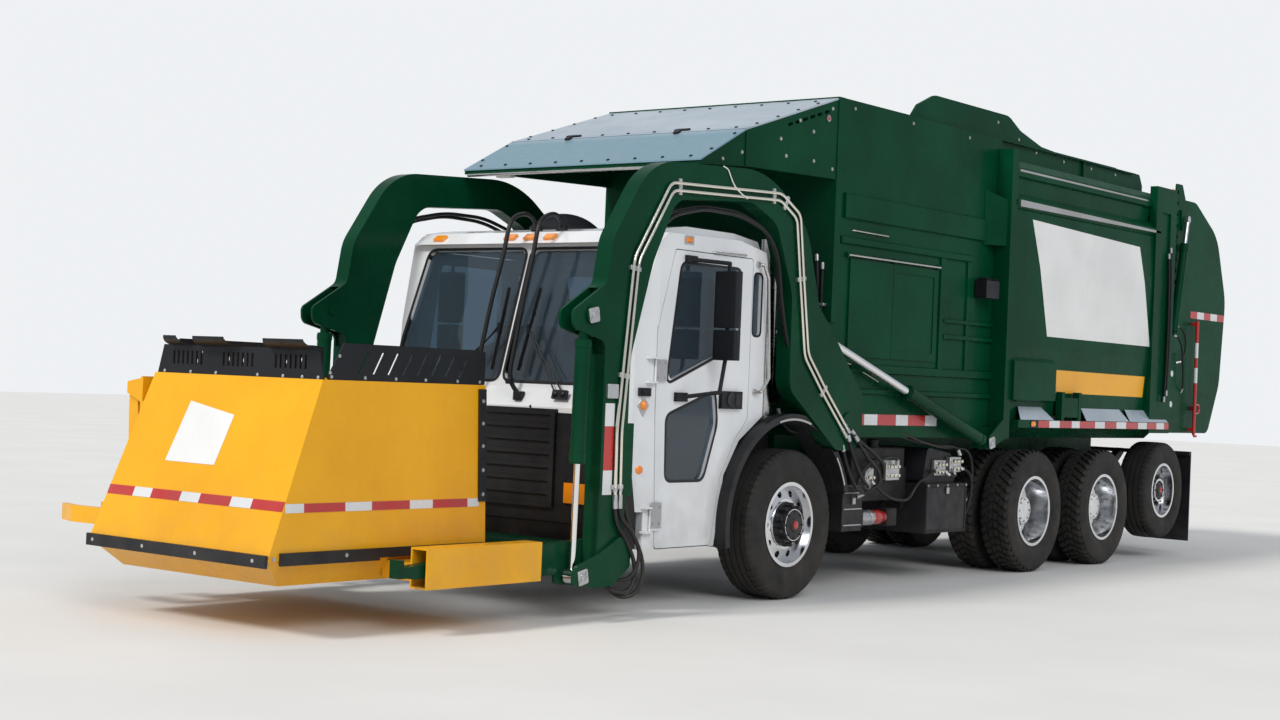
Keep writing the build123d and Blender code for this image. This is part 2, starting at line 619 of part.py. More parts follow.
lamps = []
for x in (-850, -180, 0, 180, 850):
    lamp = plate([(-1532, 2420), (-1484, 2454), (-1497, 2472), (-1545, 2438)], (x - 45, x + 45), 5) - roof_cap
    lamps.append(Pos(0, -TOUCH, 0) * lamp)
for x in (-795, 795):
    lamps.append(block((x - 100, x + 100), (CAB_FRONT - 25, CAB_FRONT - TOUCH), (690, 820)))
save("cab_lamps", group(*lamps))

seat = block((520, 1000), (-1150, -700), (1010, 1130))
seat += plate([(-770, 1129), (-645, 1129), (-560, 1720), (-590, 1860), (-680, 1840)], (530, 990), 30)
seat += block((560, 960), (-1060, -780), (CAB_BOTTOM + CAB_WALL + TOUCH, 1011)) & inner_form
dash = plate([(-1794.5, 1262), (-1450, 1262), (-1380, 1330), (-1440, 1400), (-1700, 1400), (-1790, 1290)], (-860, 860))
dash += bar((760, -1500, 1300), (760, -1240, 1440), 30)
wheel_plane = Plane(origin=(760, -1230, 1445), z_dir=(0, 260, 140))
dash += wheel_plane * Torus(225, 16)
dash += wheel_plane * (Box(430, 40, 14) + Cylinder(55, 30))
save("cab_interior", group(both(seat), dash))

hub = (0, FRONT_TYRE_R)
liner = extrude(Plane.YZ.offset(965) * (Pos(*hub) * (Circle(756) - Circle(724))), CAB_HALF + 1 - 965)
flare = extrude(Plane.YZ.offset(CAB_HALF + TOUCH) * (Pos(*hub) * (Circle(780) - Circle(730))), 86)
keep = plate([(-1000, 345), (0, hub[1]), (900, 790), (1000, 1600), (-1000, 1600)], (800, 1300))
mudguard = (liner + flare) & keep
mudguard -= plate([(-120, 1480), (530, 1040), (620, 1040), (620, 1500)], (ARM_INNER - SIDE_GAP, 1300))
mudguard -= bar((*STACK, 1100), (*STACK, 1400), STACK_R + SIDE_GAP + 4)
mudguard += bar((side_x, 700, 745), (970, 700, 745), 16)
flap = block((880, TRACK_OUTER), (FLAP_BAR[0] + 20 + TOUCH, FLAP_BAR[0] + 32), (140, 1020))
save("mudguards", group(both(mudguard), both(flap)))


# Front loader arms

ARM_LINE = [
    # (Y, Z, corner radius)
    (-2150, 330, 40), (-2150, 1730, 60), (-2460, 1800, 60), (-2470, 1905, 50), (-2160, 2090, 80),
    (-2110, 2380, 300), (-1750, 2900, 480), (-450, 2975, 850), (60, 2620, 480), (240, 2080, 60),
    (420, 1920, 70), (880, 1450, 80), (880, 1050, 150), (540, 1050, 100), (-100, 1480, 150),
    (-110, 2150, 350), (-330, 2620, 200), (-640, 2740, 250), (-1480, 2680, 200), (-1700, 2260, 400),
    (-1895, 1640, 400), (-1895, 330, 40),
]
slot = (ARM_INNER + ARM_PLATE, ARM_OUTER - ARM_PLATE)
arm = plate([(y, z) for y, z, r in ARM_LINE], (ARM_INNER, ARM_OUTER), [r for y, z, r in ARM_LINE])
arm -= across(ARM_ROD_PIN, ARM_CLEVIS_R, slot)
arm -= plate([(-2600, 1650), (-2130, 1650), (-2180, 2060), (-2600, 2060)], slot)
arm -= across(FORK_PIVOT, FORK_PIN_R + PIN_GAP, (ARM_INNER - 10, ARM_OUTER + 10))
arm += across(FORK_TOP_PIN, EYE_PIN_R, (ARM_INNER - 12, ARM_OUTER + 12))
for pivot, radius in ((ARM_PIVOT, ARM_BOSS_R), (FORK_TOP_PIN, 58)):
    arm += across(pivot, radius, (ARM_OUTER - 1, ARM_OUTER + ARM_BOSS_T))
save("lift_arms", arm + other_side(arm) + across(ARM_PIVOT, TORQUE_TUBE_R, (-ARM_INNER - 10, ARM_INNER + 10)))


def cylinder_barrel(base, rod_pin, x, radius, length, bore, neck, eye):
    """A barrel on a narrow neck behind its base eye, bored for its rod. eye is (radius, half width)."""
    eye_r, eye_half = eye
    tube = bar((x, *along(base, rod_pin, neck)), (x, *along(base, rod_pin, length)), radius)
    tube += bar((x, *along(base, rod_pin, eye_r - 15)), (x, *along(base, rod_pin, neck + 5)), eye_half - 4)
    tube += bar((x, *along(base, rod_pin, length - 70)), (x, *along(base, rod_pin, length - 10)), radius + GLAND_RING)
    tube += bar((x, *along(base, rod_pin, neck + 10)), (x, *along(base, rod_pin, neck + 50)), radius + GLAND_RING)
    tube += across(base, eye_r, (x - eye_half, x + eye_half))
    return tube - bar((x, *along(base, rod_pin, neck + 20)), (x, *along(base, rod_pin, length + 1)), bore)


def cylinder_rod(base, rod_pin, x, radius, length, eye):
    """A rod from inside its barrel out to its eye. eye is (radius, half width)."""
    eye_r, eye_half = eye
    return bar((x, *along(rod_pin, base, length)), (x, *rod_pin), radius) + across(rod_pin, eye_r, (x - eye_half, x + eye_half))


barrel = cylinder_barrel(ARM_BASE_PIN, ARM_ROD_PIN, ARM_CYL_X, ARM_BARREL_R, ARM_BARREL_L, ARM_ROD_R + PIN_GAP, 75,
                         (EYE_R, EYE_HALF))
barrel -= across(ARM_BASE_PIN, EYE_PIN_R + PIN_GAP, (ARM_CYL_X - 50, ARM_CYL_X + 50))
save("arm_barrels", both(barrel))
save("arm_rods", both(cylinder_rod(ARM_BASE_PIN, ARM_ROD_PIN, ARM_CYL_X, ARM_ROD_R, ARM_ROD_L, (52, EYE_HALF - 2))))

top_barrel = cylinder_barrel(FORK_TOP_PIN, FORK_CRANK_PIN, ARM_CYL_X, FORK_BARREL_R, FORK_BARREL_L,
                             FORK_ROD_R + PIN_GAP, 150, (EYE_R, EYE_HALF))
top_barrel -= across(FORK_TOP_PIN, EYE_PIN_R + PIN_GAP, (ARM_CYL_X - 50, ARM_CYL_X + 50))
save("fork_barrels", both(top_barrel))
save("fork_rods", both(cylinder_rod(FORK_TOP_PIN, FORK_CRANK_PIN, ARM_CYL_X, FORK_ROD_R, FORK_ROD_L, (46, EYE_HALF - 2))))

crank_line = [(-1850, 330), (-1850, 470), (-1960, 520), (-2140, 420), (-2390, 345), (-2400, 235), (-2200, 215), (-2020, 215)]
crank_in = ARM_INNER - SIDE_GAP
crank_out = ARM_OUTER + SIDE_GAP
side_fork = plate(crank_line, (crank_out, crank_out + CRANK_PLATE), 30)
side_fork += plate(crank_line, (crank_in - CRANK_PLATE, crank_in), 30)
side_fork += across(FORK_PIVOT, FORK_PIN_R, (crank_in - 1, crank_out + CRANK_PLATE))
side_fork += plate([(-2010, 300), (-2010, 500), (-2500, 480), (FORK_TIP, 400), (FORK_TIP, 330), (-2500, 290)],
                   (FORK_OUTER - FORK_T, FORK_OUTER), 15)
side_fork += plate([(FORK_TIP + 20, 335), (FORK_TIP - 90, 335), (FORK_TIP - 90, 440), (FORK_TIP - 50, 440),
                    (FORK_TIP - 50, 395), (FORK_TIP + 20, 395)], (FORK_OUTER - FORK_T, FORK_OUTER))
for y in (-3300, -2650):
    side_fork += block((FORK_OUTER - FORK_T, FORK_OUTER), (y - 40, y + 40), (380, POCKET_HIGH - POCKET_WALL - TOUCH))
fork_tube = across(FORK_PIVOT, FORK_TUBE_R, (-crank_in + CRANK_PLATE - 2, crank_in - CRANK_PLATE + 2))
save("forks", side_fork + other_side(side_fork) + fork_tube)


# Carry can and its side arm

can_lean = (CAN_FRONT_TOP[0] - CAN_FRONT_LOW[0]) / (CAN_FRONT_TOP[1] - CAN_FRONT_LOW[1])


def can_form(gap, rise=0):
    """The can's outer form, or with a gap the space inside its walls, open at the top."""
    top = CAN_FRONT_TOP[1] + rise
    side = [(-4250, CAN_BOTTOM), CAN_FRONT_LOW, (CAN_FRONT_LOW[0] + can_lean * (top - CAN_FRONT_LOW[1]), top),
            (CAN_REAR, top), (CAN_REAR, CAN_BOTTOM)]
    front_view = mirrored([(CAN_HALF_LOW - CAN_BEVEL, CAN_BOTTOM), (CAN_HALF_LOW, CAN_FRONT_LOW[1]),
                           (CAN_HALF_TOP, CAN_FRONT_TOP[1]), (CAN_HALF_TOP - 5, top + 1)])
    return plate(inset(side, gap), (-900, 900)) & section(inset(front_view, gap), (-4600, -2600))


can_outer = can_form(0)
bore = SLIDE_HALF + SIDE_GAP
guide = bore + GUIDE_WALL
can = can_outer - can_form(CAN_WALL, 100)
can += block((-800, 800), (CART_Y - guide, CART_Y + guide), (SLIDE_Z - guide, SLIDE_Z + guide)) & can_outer
can -= block((-900, CAN_HALF_TOP - 60), (CART_Y - bore, CART_Y + bore),
             (SLIDE_Z - SLIDE_HALF - SLIDE_FIT, SLIDE_Z + SLIDE_HALF + SLIDE_FIT))
pocket_inner = FORK_OUTER - FORK_T - POCKET_GAP
pocket = block((pocket_inner, POCKET_OUTER), (POCKET_FRONT, POCKET_REAR), (POCKET_LOW, POCKET_HIGH))
pocket -= block((pocket_inner + POCKET_WALL, POCKET_OUTER - POCKET_WALL), (POCKET_FRONT - 10, POCKET_REAR + 10),
                (POCKET_LOW + POCKET_WALL, POCKET_HIGH - POCKET_WALL))
pocket += block((CAN_HALF_LOW - 60, pocket_inner + 1), (POCKET_FRONT + 40, POCKET_REAR - 160), (300, 404)) - can_outer
can += pocket
can += other_side(pocket)
save("can", can)

guard_z = CAN_FRONT_TOP[1] + TOUCH
guard_y = CAN_FRONT_TOP[0] + 10
guard_half = CAN_HALF_TOP - 10
front_guard = section(mirrored([(guard_half, guard_z), (guard_half - 50, GUARD_TOP - 40)]), (guard_y, guard_y + GUARD_T))
slot_z = (guard_z + 55, GUARD_TOP - 75)
for middle in (-455, 0, 455):
    for count in range(GUARD_SLOTS):
        slot_x = middle + (count - (GUARD_SLOTS - 1) / 2) * GUARD_SLOT_STEP
        front_guard -= block((slot_x - 9, slot_x + 9), (guard_y - 5, guard_y + GUARD_T + 5), slot_z)
side_guard = plate([(guard_y + 30, guard_z), (CAN_REAR, guard_z), (CAN_REAR, GUARD_TOP - 10), (CAN_REAR - 80, GUARD_TOP),
                    (guard_y + 150, GUARD_TOP)], (guard_half - GUARD_T, guard_half), 10)
front_strip = block((-CAN_HALF_LOW, CAN_HALF_LOW), (CAN_FRONT_LOW[0] - STRIP_T, CAN_FRONT_LOW[0] - TOUCH), (400, 470))
side_strip = block((CAN_HALF_LOW + TOUCH, CAN_HALF_LOW + STRIP_T), (CAN_FRONT_LOW[0] + 80, POCKET_FRONT - 60), (410, 480))
side_strip += block((CAN_HALF_LOW + TOUCH, CAN_HALF_LOW + STRIP_T), (POCKET_FRONT - 61, CAN_REAR - 20), (425, 480))
for count in range(SIDE_SLOTS):
    slot_y = guard_y + 260 + count * SIDE_SLOT_STEP
    side_guard -= plate([(slot_y, guard_z + 40), (slot_y + 22, guard_z + 40), (slot_y + 92, GUARD_TOP - 45), (slot_y + 70, GUARD_TOP - 45)],
                        (guard_half - GUARD_T - 5, guard_half + 5))
save("can_trim", group(front_strip, both(side_strip), front_guard, both(side_guard)))

slide_y = (CART_Y - SLIDE_HALF, CART_Y + SLIDE_HALF)
cart_slide = block((SLIDE_OUT, SLIDE_IN), slide_y, (SLIDE_Z - SLIDE_HALF, SLIDE_Z + SLIDE_HALF))
cart_slide += block((SLIDE_OUT - 20, SLIDE_OUT + 1), slide_y, (SLIDE_Z - SLIDE_HALF, LIFT_PIVOT[1] + 70))
lug_line = [(SLIDE_OUT - 10, LIFT_PIVOT[1] - 90), (SLIDE_OUT - 10, LIFT_PIVOT[1] + 60), (LIFT_PIVOT[0] - 35, LIFT_PIVOT[1] + 35),
            (LIFT_PIVOT[0] - 35, LIFT_PIVOT[1] - 35)]
for lug_y in ((slide_y[0], slide_y[0] + 14), (slide_y[1] - 14, slide_y[1])):
    cart_slide += section(lug_line, lug_y)
cart_slide += bar((LIFT_PIVOT[0], slide_y[0], LIFT_PIVOT[1]), (LIFT_PIVOT[0], slide_y[1], LIFT_PIVOT[1]), LIFT_PIN_R)
save("cart_slide", cart_slide)

lift_y = (CART_Y - LIFT_HALF, CART_Y + LIFT_HALF)
cart_lift = section([(-1020, 1370), (-950, 1370), (-930, 1180), (-925, 700), (-905, 590), (-905, 500), (-1000, 500),
                     (-1000, 700), (-1020, 1180)], lift_y, 12)
cart_lift -= bar((LIFT_PIVOT[0], lift_y[0] - 5, LIFT_PIVOT[1]), (LIFT_PIVOT[0], lift_y[1] + 5, LIFT_PIVOT[1]),
                 LIFT_PIN_R + PIN_GAP)
grip_y = (CART_Y - 290, CART_Y + 110)
cart_lift += block((-1000, -905), grip_y, (500, 600))
jaw = [(-990, grip_y[0]), (-1190, grip_y[0] - 15), (GRIP_REACH, grip_y[0] + 40), (GRIP_REACH, grip_y[0] + 75),
       (-1180, grip_y[0] + 30), (-990, grip_y[0] + 45)]
far_jaw = [(x, grip_y[0] + grip_y[1] - y) for x, y in jaw]
cart_lift += floor_plan(jaw, (500, 600))
cart_lift += floor_plan(far_jaw, (500, 600))
save("cart_lift", cart_lift)


# Hopper and load body

HOPPER_SIDE = [(HOPPER_FRONT, HOPPER_TOP), (HOPPER_FRONT, 1950), (900, 1600), (900, BODY_BOTTOM),
               (HOPPER_REAR + 80, BODY_BOTTOM), (HOPPER_REAR + 80, HOPPER_TOP)]
BODY_SECTION = mirrored([(980, BODY_BOTTOM), (1150, BODY_BOTTOM + 160), (BODY_HALF - 20, 1900), (BODY_HALF, 2600),
                         (BODY_HALF - 15, 3060), (1130, 3150), (1160, 3420), (1120, BODY_TOP)])
body = plate(HOPPER_SIDE, (-HOPPER_HALF, HOPPER_HALF)) + section(BODY_SECTION, (HOPPER_REAR, BODY_REAR))
inside_y = HOPPER_FRONT + BODY_WALL
body -= plate([(inside_y, HOPPER_TOP + 10), (inside_y, 1970), (945, 1620), (945, BODY_BOTTOM + BODY_WALL),
               (HOPPER_REAR + 100, BODY_BOTTOM + BODY_WALL), (HOPPER_REAR + 100, BODY_TOP - BODY_WALL),
               (HOPPER_REAR - 90, BODY_TOP - BODY_WALL), (HOPPER_REAR - 90, HOPPER_TOP + 10)],
              (-HOPPER_HALF + BODY_WALL, HOPPER_HALF - BODY_WALL))
load_space = section(inset(BODY_SECTION, BODY_WALL), (HOPPER_REAR + 60, BODY_REAR + 10))
body -= load_space
frame_seat = block((RAIL_OUTER - RAIL_FLANGE, RAIL_OUTER), (900, BODY_REAR), (RAIL_TOP + TOUCH, BODY_BOTTOM + 1))
hopper_ribs = []
for rib_y, rib_z, edge in HOPPER_RIBS:
    hopper_ribs.append(section([(HOPPER_HALF - 5, rib_z[0] - edge), (HOPPER_HALF + RIB_T, rib_z[0]), (HOPPER_HALF + RIB_T, rib_z[1]),
                                (HOPPER_HALF - 5, rib_z[1] + edge)], rib_y))
for rib_y, rib_z in ((HATCH_Y, HATCH_Z), ((2205, 2270), (1650, 2575)), ((2640, 2690), (1650, 2575))):
    hopper_ribs.append(block((HOPPER_HALF - 5, HOPPER_HALF + HATCH_T), rib_y, rib_z))
hatch_seam = block((HOPPER_HALF + HATCH_T - 6, HOPPER_HALF + HATCH_T + 1), (HATCH_SPLIT - 3, HATCH_SPLIT + 3), HATCH_Z)
hatch_panel = plate([(HATCH_SPLIT + 40, HATCH_Z[0] + 60), (HATCH_Y[1] - 60, HATCH_Z[0] + 60), (HATCH_Y[1] - 60, HATCH_Z[1] - 60),
                     (HATCH_SPLIT + 40, HATCH_Z[1] - 60)], (HOPPER_HALF + HATCH_T - 7, HOPPER_HALF + HATCH_T + 1), 20)
hatch_hinge = bar((HOPPER_HALF + 10, HATCH_Y[0] - 20, HATCH_Z[1] + 25), (HOPPER_HALF + 10, HATCH_Y[1], HATCH_Z[1] + 25), 11)
gusset = floor_plan([(HOPPER_HALF - 5, 2900), (HOPPER_HALF + 5, 2900), (ARM_OUTER - 30, HOPPER_REAR + 5), (HOPPER_HALF - 5, HOPPER_REAR + 5)],
                    (2740, 3220))
gusset -= plate([(2880, 3200), (3100, 3120), (3100, 3300), (2880, 3300)], (HOPPER_HALF + 1, ARM_OUTER))
front_post = block((HOPPER_HALF - 5, HOPPER_HALF + RIB_T), (HOPPER_FRONT, HOPPER_FRONT + 80), (1985, HOPPER_TOP))
body_rail = section([(1150, 3110), (BODY_HALF - 30, 3060), (BODY_HALF + RAIL_OUT, 3095), (BODY_HALF + RAIL_OUT, 3135), (1150, 3200)],
                    (HOPPER_REAR + 100, RING_FRONT + 10))
top_rail = section([(1130, 3320), (1178, 3345), (1178, 3405), (1130, 3430)], (HOPPER_REAR + 100, RING_FRONT + 10))
valve_cover = section([(BODY_HALF - 40, 1450), (BODY_HALF + 32, 1470), (BODY_HALF + 32, 1790), (BODY_HALF - 25, 1825)], (3200, 3975))
lock_bracket = block((BODY_HALF - 30, BODY_HALF + 30), (4110, 4160), (1300, 1550)) + block((BODY_HALF - 30, BODY_HALF + 30), (4440, 4490), (1300, 1550))
lock_bracket += block((BODY_HALF - 30, BODY_HALF + 26), (4150, 4450), (1330, 1500))
post = block((HOPPER_HALF - 5, ARM_OUTER), (HOPPER_REAR, HOPPER_REAR + 110), (BODY_BOTTOM, 3550))
ring_post = block((BODY_HALF - 60, BODY_HALF + 15), (RING_FRONT, BODY_REAR), (BODY_BOTTOM + 60, BODY_TOP + 60))
ears_in = plate([(2870, 1070), (2930, 1050), (2965, 1085), (3092, 1145), (3092, 1230), (2960, 1230), (2870, 1160)],
                (HOPPER_HALF - 5, ARM_CYL_X - EYE_HALF - SIDE_GAP), 6)
ears_out = plate([(2870, 1070), (2930, 1050), (2965, 1085), (3150, 1145), (3150, 1300), (3092, 1300), (2870, 1160)],
                 (ARM_CYL_X + EYE_HALF + SIDE_GAP, ARM_OUTER), 6)
base_pin = across(ARM_BASE_PIN, EYE_PIN_R, (HOPPER_HALF, ARM_OUTER))
gate_ear = [(BODY_REAR - 30, 1980), (6600, 1980), (6640, 2050), (6600, 2110), (BODY_REAR - 30, 2160)]
gate_ear_in = (TAILGATE_HALF + 8, TAILGATE_CYL_X - GATE_EYE_HALF - SIDE_GAP)
gate_ear_out = (TAILGATE_CYL_X + GATE_EYE_HALF + SIDE_GAP, BODY_HALF + 15)
gate_ears = plate(gate_ear, gate_ear_in, 15) + plate(gate_ear, gate_ear_out, 15)
gate_ears += across(TAILGATE_BASE_PIN, GATE_PIN_R, (gate_ear_in[0], gate_ear_out[1]))
lug_line = [(6330, BODY_TOP - 10), (6400, 3600), (6560, 3612), (6608, 3560), (6560, 3510), (BODY_REAR - 2, 3510),
            (BODY_REAR - 2, BODY_TOP - 10)]
gate_lugs = plate(lug_line, (580, 614)) + plate(lug_line, (706, 740)) + across(TAILGATE_HINGE, GATE_PIN_R, (590, 730))
hatch_cuts = group(hatch_seam, hatch_panel)
for rib in hopper_ribs:
    body += rib
    body += other_side(rib)
body -= hatch_cuts
body -= other_side(hatch_cuts)
ring_post -= block((BODY_HALF - 5, BODY_HALF + 20), (RING_FRONT + 130, RING_FRONT + 330), (1500, 3300))
for piece in (hatch_hinge, gusset, front_post, body_rail, top_rail, valve_cover - load_space, lock_bracket - load_space,
              frame_seat, post, ring_post - load_space, ears_in, ears_out, base_pin, gate_ears, gate_lugs):
    body += piece
    body += other_side(piece)
save("load_body", body)

canopy_side = plate([(HOPPER_FRONT - TOUCH, 3616), (-550, 3250), (-1050, 2985), (-1050, 2960), (-520, 3000), (520, 3030),
                     (HOPPER_FRONT - TOUCH, 3030)], (1060, 1085))
slope = atan2(3616 - 3250, HOPPER_FRONT + 550)
for count in range(CANOPY_SLOTS):
    spot = along((-550, 3250 - CANOPY_SLOT_DROP), (HOPPER_FRONT, 3616 - CANOPY_SLOT_DROP), 560 + count * CANOPY_SLOT_STEP)
    ends = [(spot[0] + sign * 22 * cos(slope), spot[1] + sign * 22 * sin(slope)) for sign in (-1, 1)]
    cut_x = (1055, 1090)
    canopy_side -= across(ends[0], 12, cut_x) + across(ends[1], 12, cut_x)
    side_step = (-12 * sin(slope), 12 * cos(slope))
    canopy_side -= plate([(ends[0][0] + side_step[0], ends[0][1] + side_step[1]), (ends[1][0] + side_step[0], ends[1][1] + side_step[1]),
                          (ends[1][0] - side_step[0], ends[1][1] - side_step[1]), (ends[0][0] - side_step[0], ends[0][1] - side_step[1])], cut_x)
canopy_side += block((1080, 1093), (-560, -540), (3003, 3240))
save("canopy_sides", both(canopy_side))
save("canopy_sheet", plate([(HOPPER_FRONT - TOUCH, 3630), (-550, 3262), (-1060, 2995), (-1060, 2985), (-550, 3250.3),
                            (HOPPER_FRONT - TOUCH, 3617)], (-1085, 1085)))

runner_z = HOPPER_TOP + TOUCH
roof_z = BODY_TOP + TOUCH
runner = block((RUNNER_IN, HOPPER_HALF - 20), (HOPPER_FRONT + 60, 5870), (runner_z, runner_z + RUNNER_T))
hump = plate([(1750, runner_z), (1860, 3760), (2120, 3870), (3380, 3870), (3600, 3770), (4000, 3680), (4400, 3660), (6050, 3660),
              (6120, 3560), (6120, roof_z), (HOPPER_REAR + 90, roof_z), (HOPPER_REAR + 90, runner_z)],
             (HUMP_X, HUMP_X + HUMP_T), [5, 60, 200, 250, 150, 300, 300, 30, 30, 5, 5, 5])
hump += block((HUMP_X, HUMP_X + HUMP_T + 22), (4800, 4820), (roof_z, 3640))
hump += block((HUMP_X, HUMP_X + HUMP_T + 22), (HOPPER_REAR + 100, 6100), (roof_z, roof_z + 12))
save("roof_guard", both(runner + hump))

door_z = runner_z + RUNNER_T + SLIDE_FIT
save("top_door", block((-HUMP_X + 30, HUMP_X - 30), (HOPPER_REAR + 120, HOPPER_REAR + 120 + DOOR_L), (door_z, door_z + DOOR_T)))

packer_foot = (HOPPER_FRONT + 400, BODY_BOTTOM + BODY_WALL + SLIDE_FIT)
save("packer_panel", plate([packer_foot, (HOPPER_FRONT + 700, packer_foot[1]), (HOPPER_FRONT + 560, 2300),
                            (HOPPER_FRONT + 400, 2500)], (-PACKER_HALF, PACKER_HALF), 20))

# Tailgate

gate_front = BODY_REAR + PANEL_GAP
GATE_LINE = [(gate_front, TAILGATE_BOTTOM), (gate_front, TAILGATE_TOP), (7200, TAILGATE_TOP), (7780, 3200),
             (TAILGATE_REAR, 2560), (7960, 1700), (7700, TAILGATE_BOTTOM)]
GATE_RADII = [10, 10, 250, 450, 450, 350, 120]
gate_inside = [max(r - TAILGATE_WALL, 5) for r in GATE_RADII]
gate = plate(GATE_LINE, (-TAILGATE_HALF, TAILGATE_HALF), GATE_RADII)
inside_half = TAILGATE_HALF - TAILGATE_WALL
gate -= plate(inset(GATE_LINE, TAILGATE_WALL), (-inside_half, inside_half), gate_inside)
gate -= block((-inside_half, inside_half), (gate_front - 50, gate_front + TAILGATE_WALL + 10),
              (TAILGATE_BOTTOM + TAILGATE_WALL + 5, TAILGATE_TOP - TAILGATE_WALL - 5))
rod_ear = plate([(6800, 3180), (6900, 3230), (6920, 3300), (6880, 3360), (6780, 3400)],
                (TAILGATE_HALF - 10, TAILGATE_CYL_X - TAILGATE_ROD_R - SIDE_GAP), 15)
hinge_arm = plate([(6515, 3490), (6515, 3600), (6610, 3610), (6780, 3510), (6780, 3490)], (620, 700), 8)
hinge_arm -= across(TAILGATE_HINGE, GATE_PIN_R + PIN_GAP, (600, 720))
side_frame = plate([(6670, 1290), (6930, 1290), (6930, 3470), (6830, 3640), (6690, 3640), (6670, 3450)],
                   (TAILGATE_HALF - 5, TAILGATE_HALF + GATE_FRAME_T), 20)
for count in range(GATE_HOLES):
    side_frame -= across((6730, 3560 - count * 110), 20, (TAILGATE_HALF, TAILGATE_HALF + GATE_FRAME_T + 1))
for piece in (side_frame, rod_ear, hinge_arm):
    gate += piece
    gate += other_side(piece)
save("tailgate", gate)

gate_barrel = cylinder_barrel(TAILGATE_BASE_PIN, TAILGATE_ROD_PIN, TAILGATE_CYL_X, TAILGATE_BARREL_R, TAILGATE_BARREL_L,
                              TAILGATE_ROD_R + PIN_GAP, 140, (GATE_EYE_R, GATE_EYE_HALF))
gate_barrel -= across(TAILGATE_BASE_PIN, GATE_PIN_R + PIN_GAP, (TAILGATE_CYL_X - 50, TAILGATE_CYL_X + 50))
save("tailgate_barrels", both(gate_barrel))
save("tailgate_rods", both(cylinder_rod(TAILGATE_BASE_PIN, TAILGATE_ROD_PIN, TAILGATE_CYL_X, TAILGATE_ROD_R,
                                        TAILGATE_ROD_L, (36, GATE_EYE_HALF - 2))))

shelf = block((BODY_HALF - 215, 1250), (3300, 6400), (1235, 1300)) - section(BODY_SECTION, (HOPPER_REAR, BODY_REAR))
save("side_shelves", both(shelf - ring_post))


# The origin goes under the middle of the whole length

boxes = [shape.bounding_box() for shape in NODES.values()]
middle_y = (min(box.min.Y for box in boxes) + max(box.max.Y for box in boxes)) / 2
for name, shape in NODES.items():
    export_step(Pos(0, -middle_y, 0) * shape, f"parts/{name}.step")
print("moved back along Y by", round(middle_y, 3))
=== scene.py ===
# %% [markdown]
# A front-loading refuse truck. The real one lifts a carry can over its cab with two arched
# arms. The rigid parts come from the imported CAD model, which is loaded as a fixed frame.
# This lesson adds finishes and the fine parts: treads, pipes, hoses, tapes, bolts and lamps.
# Each new piece is a surface worked out with whole numpy arrays.

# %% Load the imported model
import math

import bpy
import numpy as np
from mathutils import Matrix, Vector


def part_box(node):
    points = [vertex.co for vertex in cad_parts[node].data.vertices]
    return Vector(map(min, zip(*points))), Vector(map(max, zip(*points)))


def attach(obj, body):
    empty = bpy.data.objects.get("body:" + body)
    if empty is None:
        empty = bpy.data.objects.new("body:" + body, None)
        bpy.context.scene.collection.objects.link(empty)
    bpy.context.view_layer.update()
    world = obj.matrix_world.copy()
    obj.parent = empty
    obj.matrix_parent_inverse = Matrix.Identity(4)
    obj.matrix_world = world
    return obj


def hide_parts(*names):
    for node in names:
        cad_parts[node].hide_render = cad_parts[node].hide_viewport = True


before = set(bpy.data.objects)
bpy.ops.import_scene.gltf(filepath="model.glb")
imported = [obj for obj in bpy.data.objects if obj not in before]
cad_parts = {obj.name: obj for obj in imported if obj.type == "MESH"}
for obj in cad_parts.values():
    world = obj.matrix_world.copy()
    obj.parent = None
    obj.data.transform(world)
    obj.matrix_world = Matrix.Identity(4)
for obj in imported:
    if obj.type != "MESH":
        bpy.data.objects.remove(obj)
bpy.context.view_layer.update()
low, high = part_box("front_tyre_left")
AXLE = np.array([0.0, (low.y + high.y) / 2, 0.0])
print("nodes", len(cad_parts), "front axle at", np.round(AXLE, 4))

# %% [markdown]
# Points are written from the front axle, so y = 0 is the axle, the front faces -y, and
# z = 0 is the ground. A surface is a pair: an array of points, and a list of face arrays,
# where each face array has the same number of corners in every row.

# %% From arrays to a piece


def piece(name, surface, body, material, smooth=40, replaces=()):
    """Turn one surface, or a list of them, into an object that rides a body."""
    points, faces = joined(surface) if isinstance(surface, list) else surface
    mesh = bpy.data.meshes.new(name)
    corners = np.concatenate([f.ravel() for f in faces]).astype(np.int32)
    counts = np.concatenate([np.full(len(f), f.shape[1]) for f in faces]).astype(np.int32)
    mesh.vertices.add(len(points))
    mesh.vertices.foreach_set("co", (points + AXLE).astype(np.float32).ravel())
    mesh.loops.add(len(corners))
    mesh.loops.foreach_set("vertex_index", corners)
    mesh.polygons.add(len(counts))
    mesh.polygons.foreach_set("loop_start", np.concatenate([[0], np.cumsum(counts)[:-1]]).astype(np.int32))
    mesh.polygons.foreach_set("loop_total", counts)
    mesh.update(calc_edges=True)
    mesh.validate()
    mesh.shade_smooth()
    mesh.set_sharp_from_angle(angle=math.radians(smooth))
    mesh.materials.append(material)
    made = bpy.data.objects.new(name, mesh)
    bpy.context.scene.collection.objects.link(made)
    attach(made, body)
    if replaces:
        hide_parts(*replaces)
    print(name, len(mesh.polygons), "faces on", body)
    return made


def joined(surfaces):
    """Put several surfaces into one: each one's corner numbers are raised by the points before it."""
    points, faces, base = [], [], 0
    for some_points, some_faces in surfaces:
        points.append(some_points)
        faces += [f + base for f in some_faces]
        base += len(some_points)
    return np.vstack(points), faces


def flipped(surface):
    """The mirror image on the right side: x changes sign, and each face's corners run backwards."""
    points, faces = surface
    return points * [-1, 1, 1], [f[:, ::-1] for f in faces]


def both(surfaces):
    """A list of surfaces and their mirror images."""
    surfaces = surfaces if isinstance(surfaces, list) else [surfaces]
    return surfaces + [flipped(s) for s in surfaces]


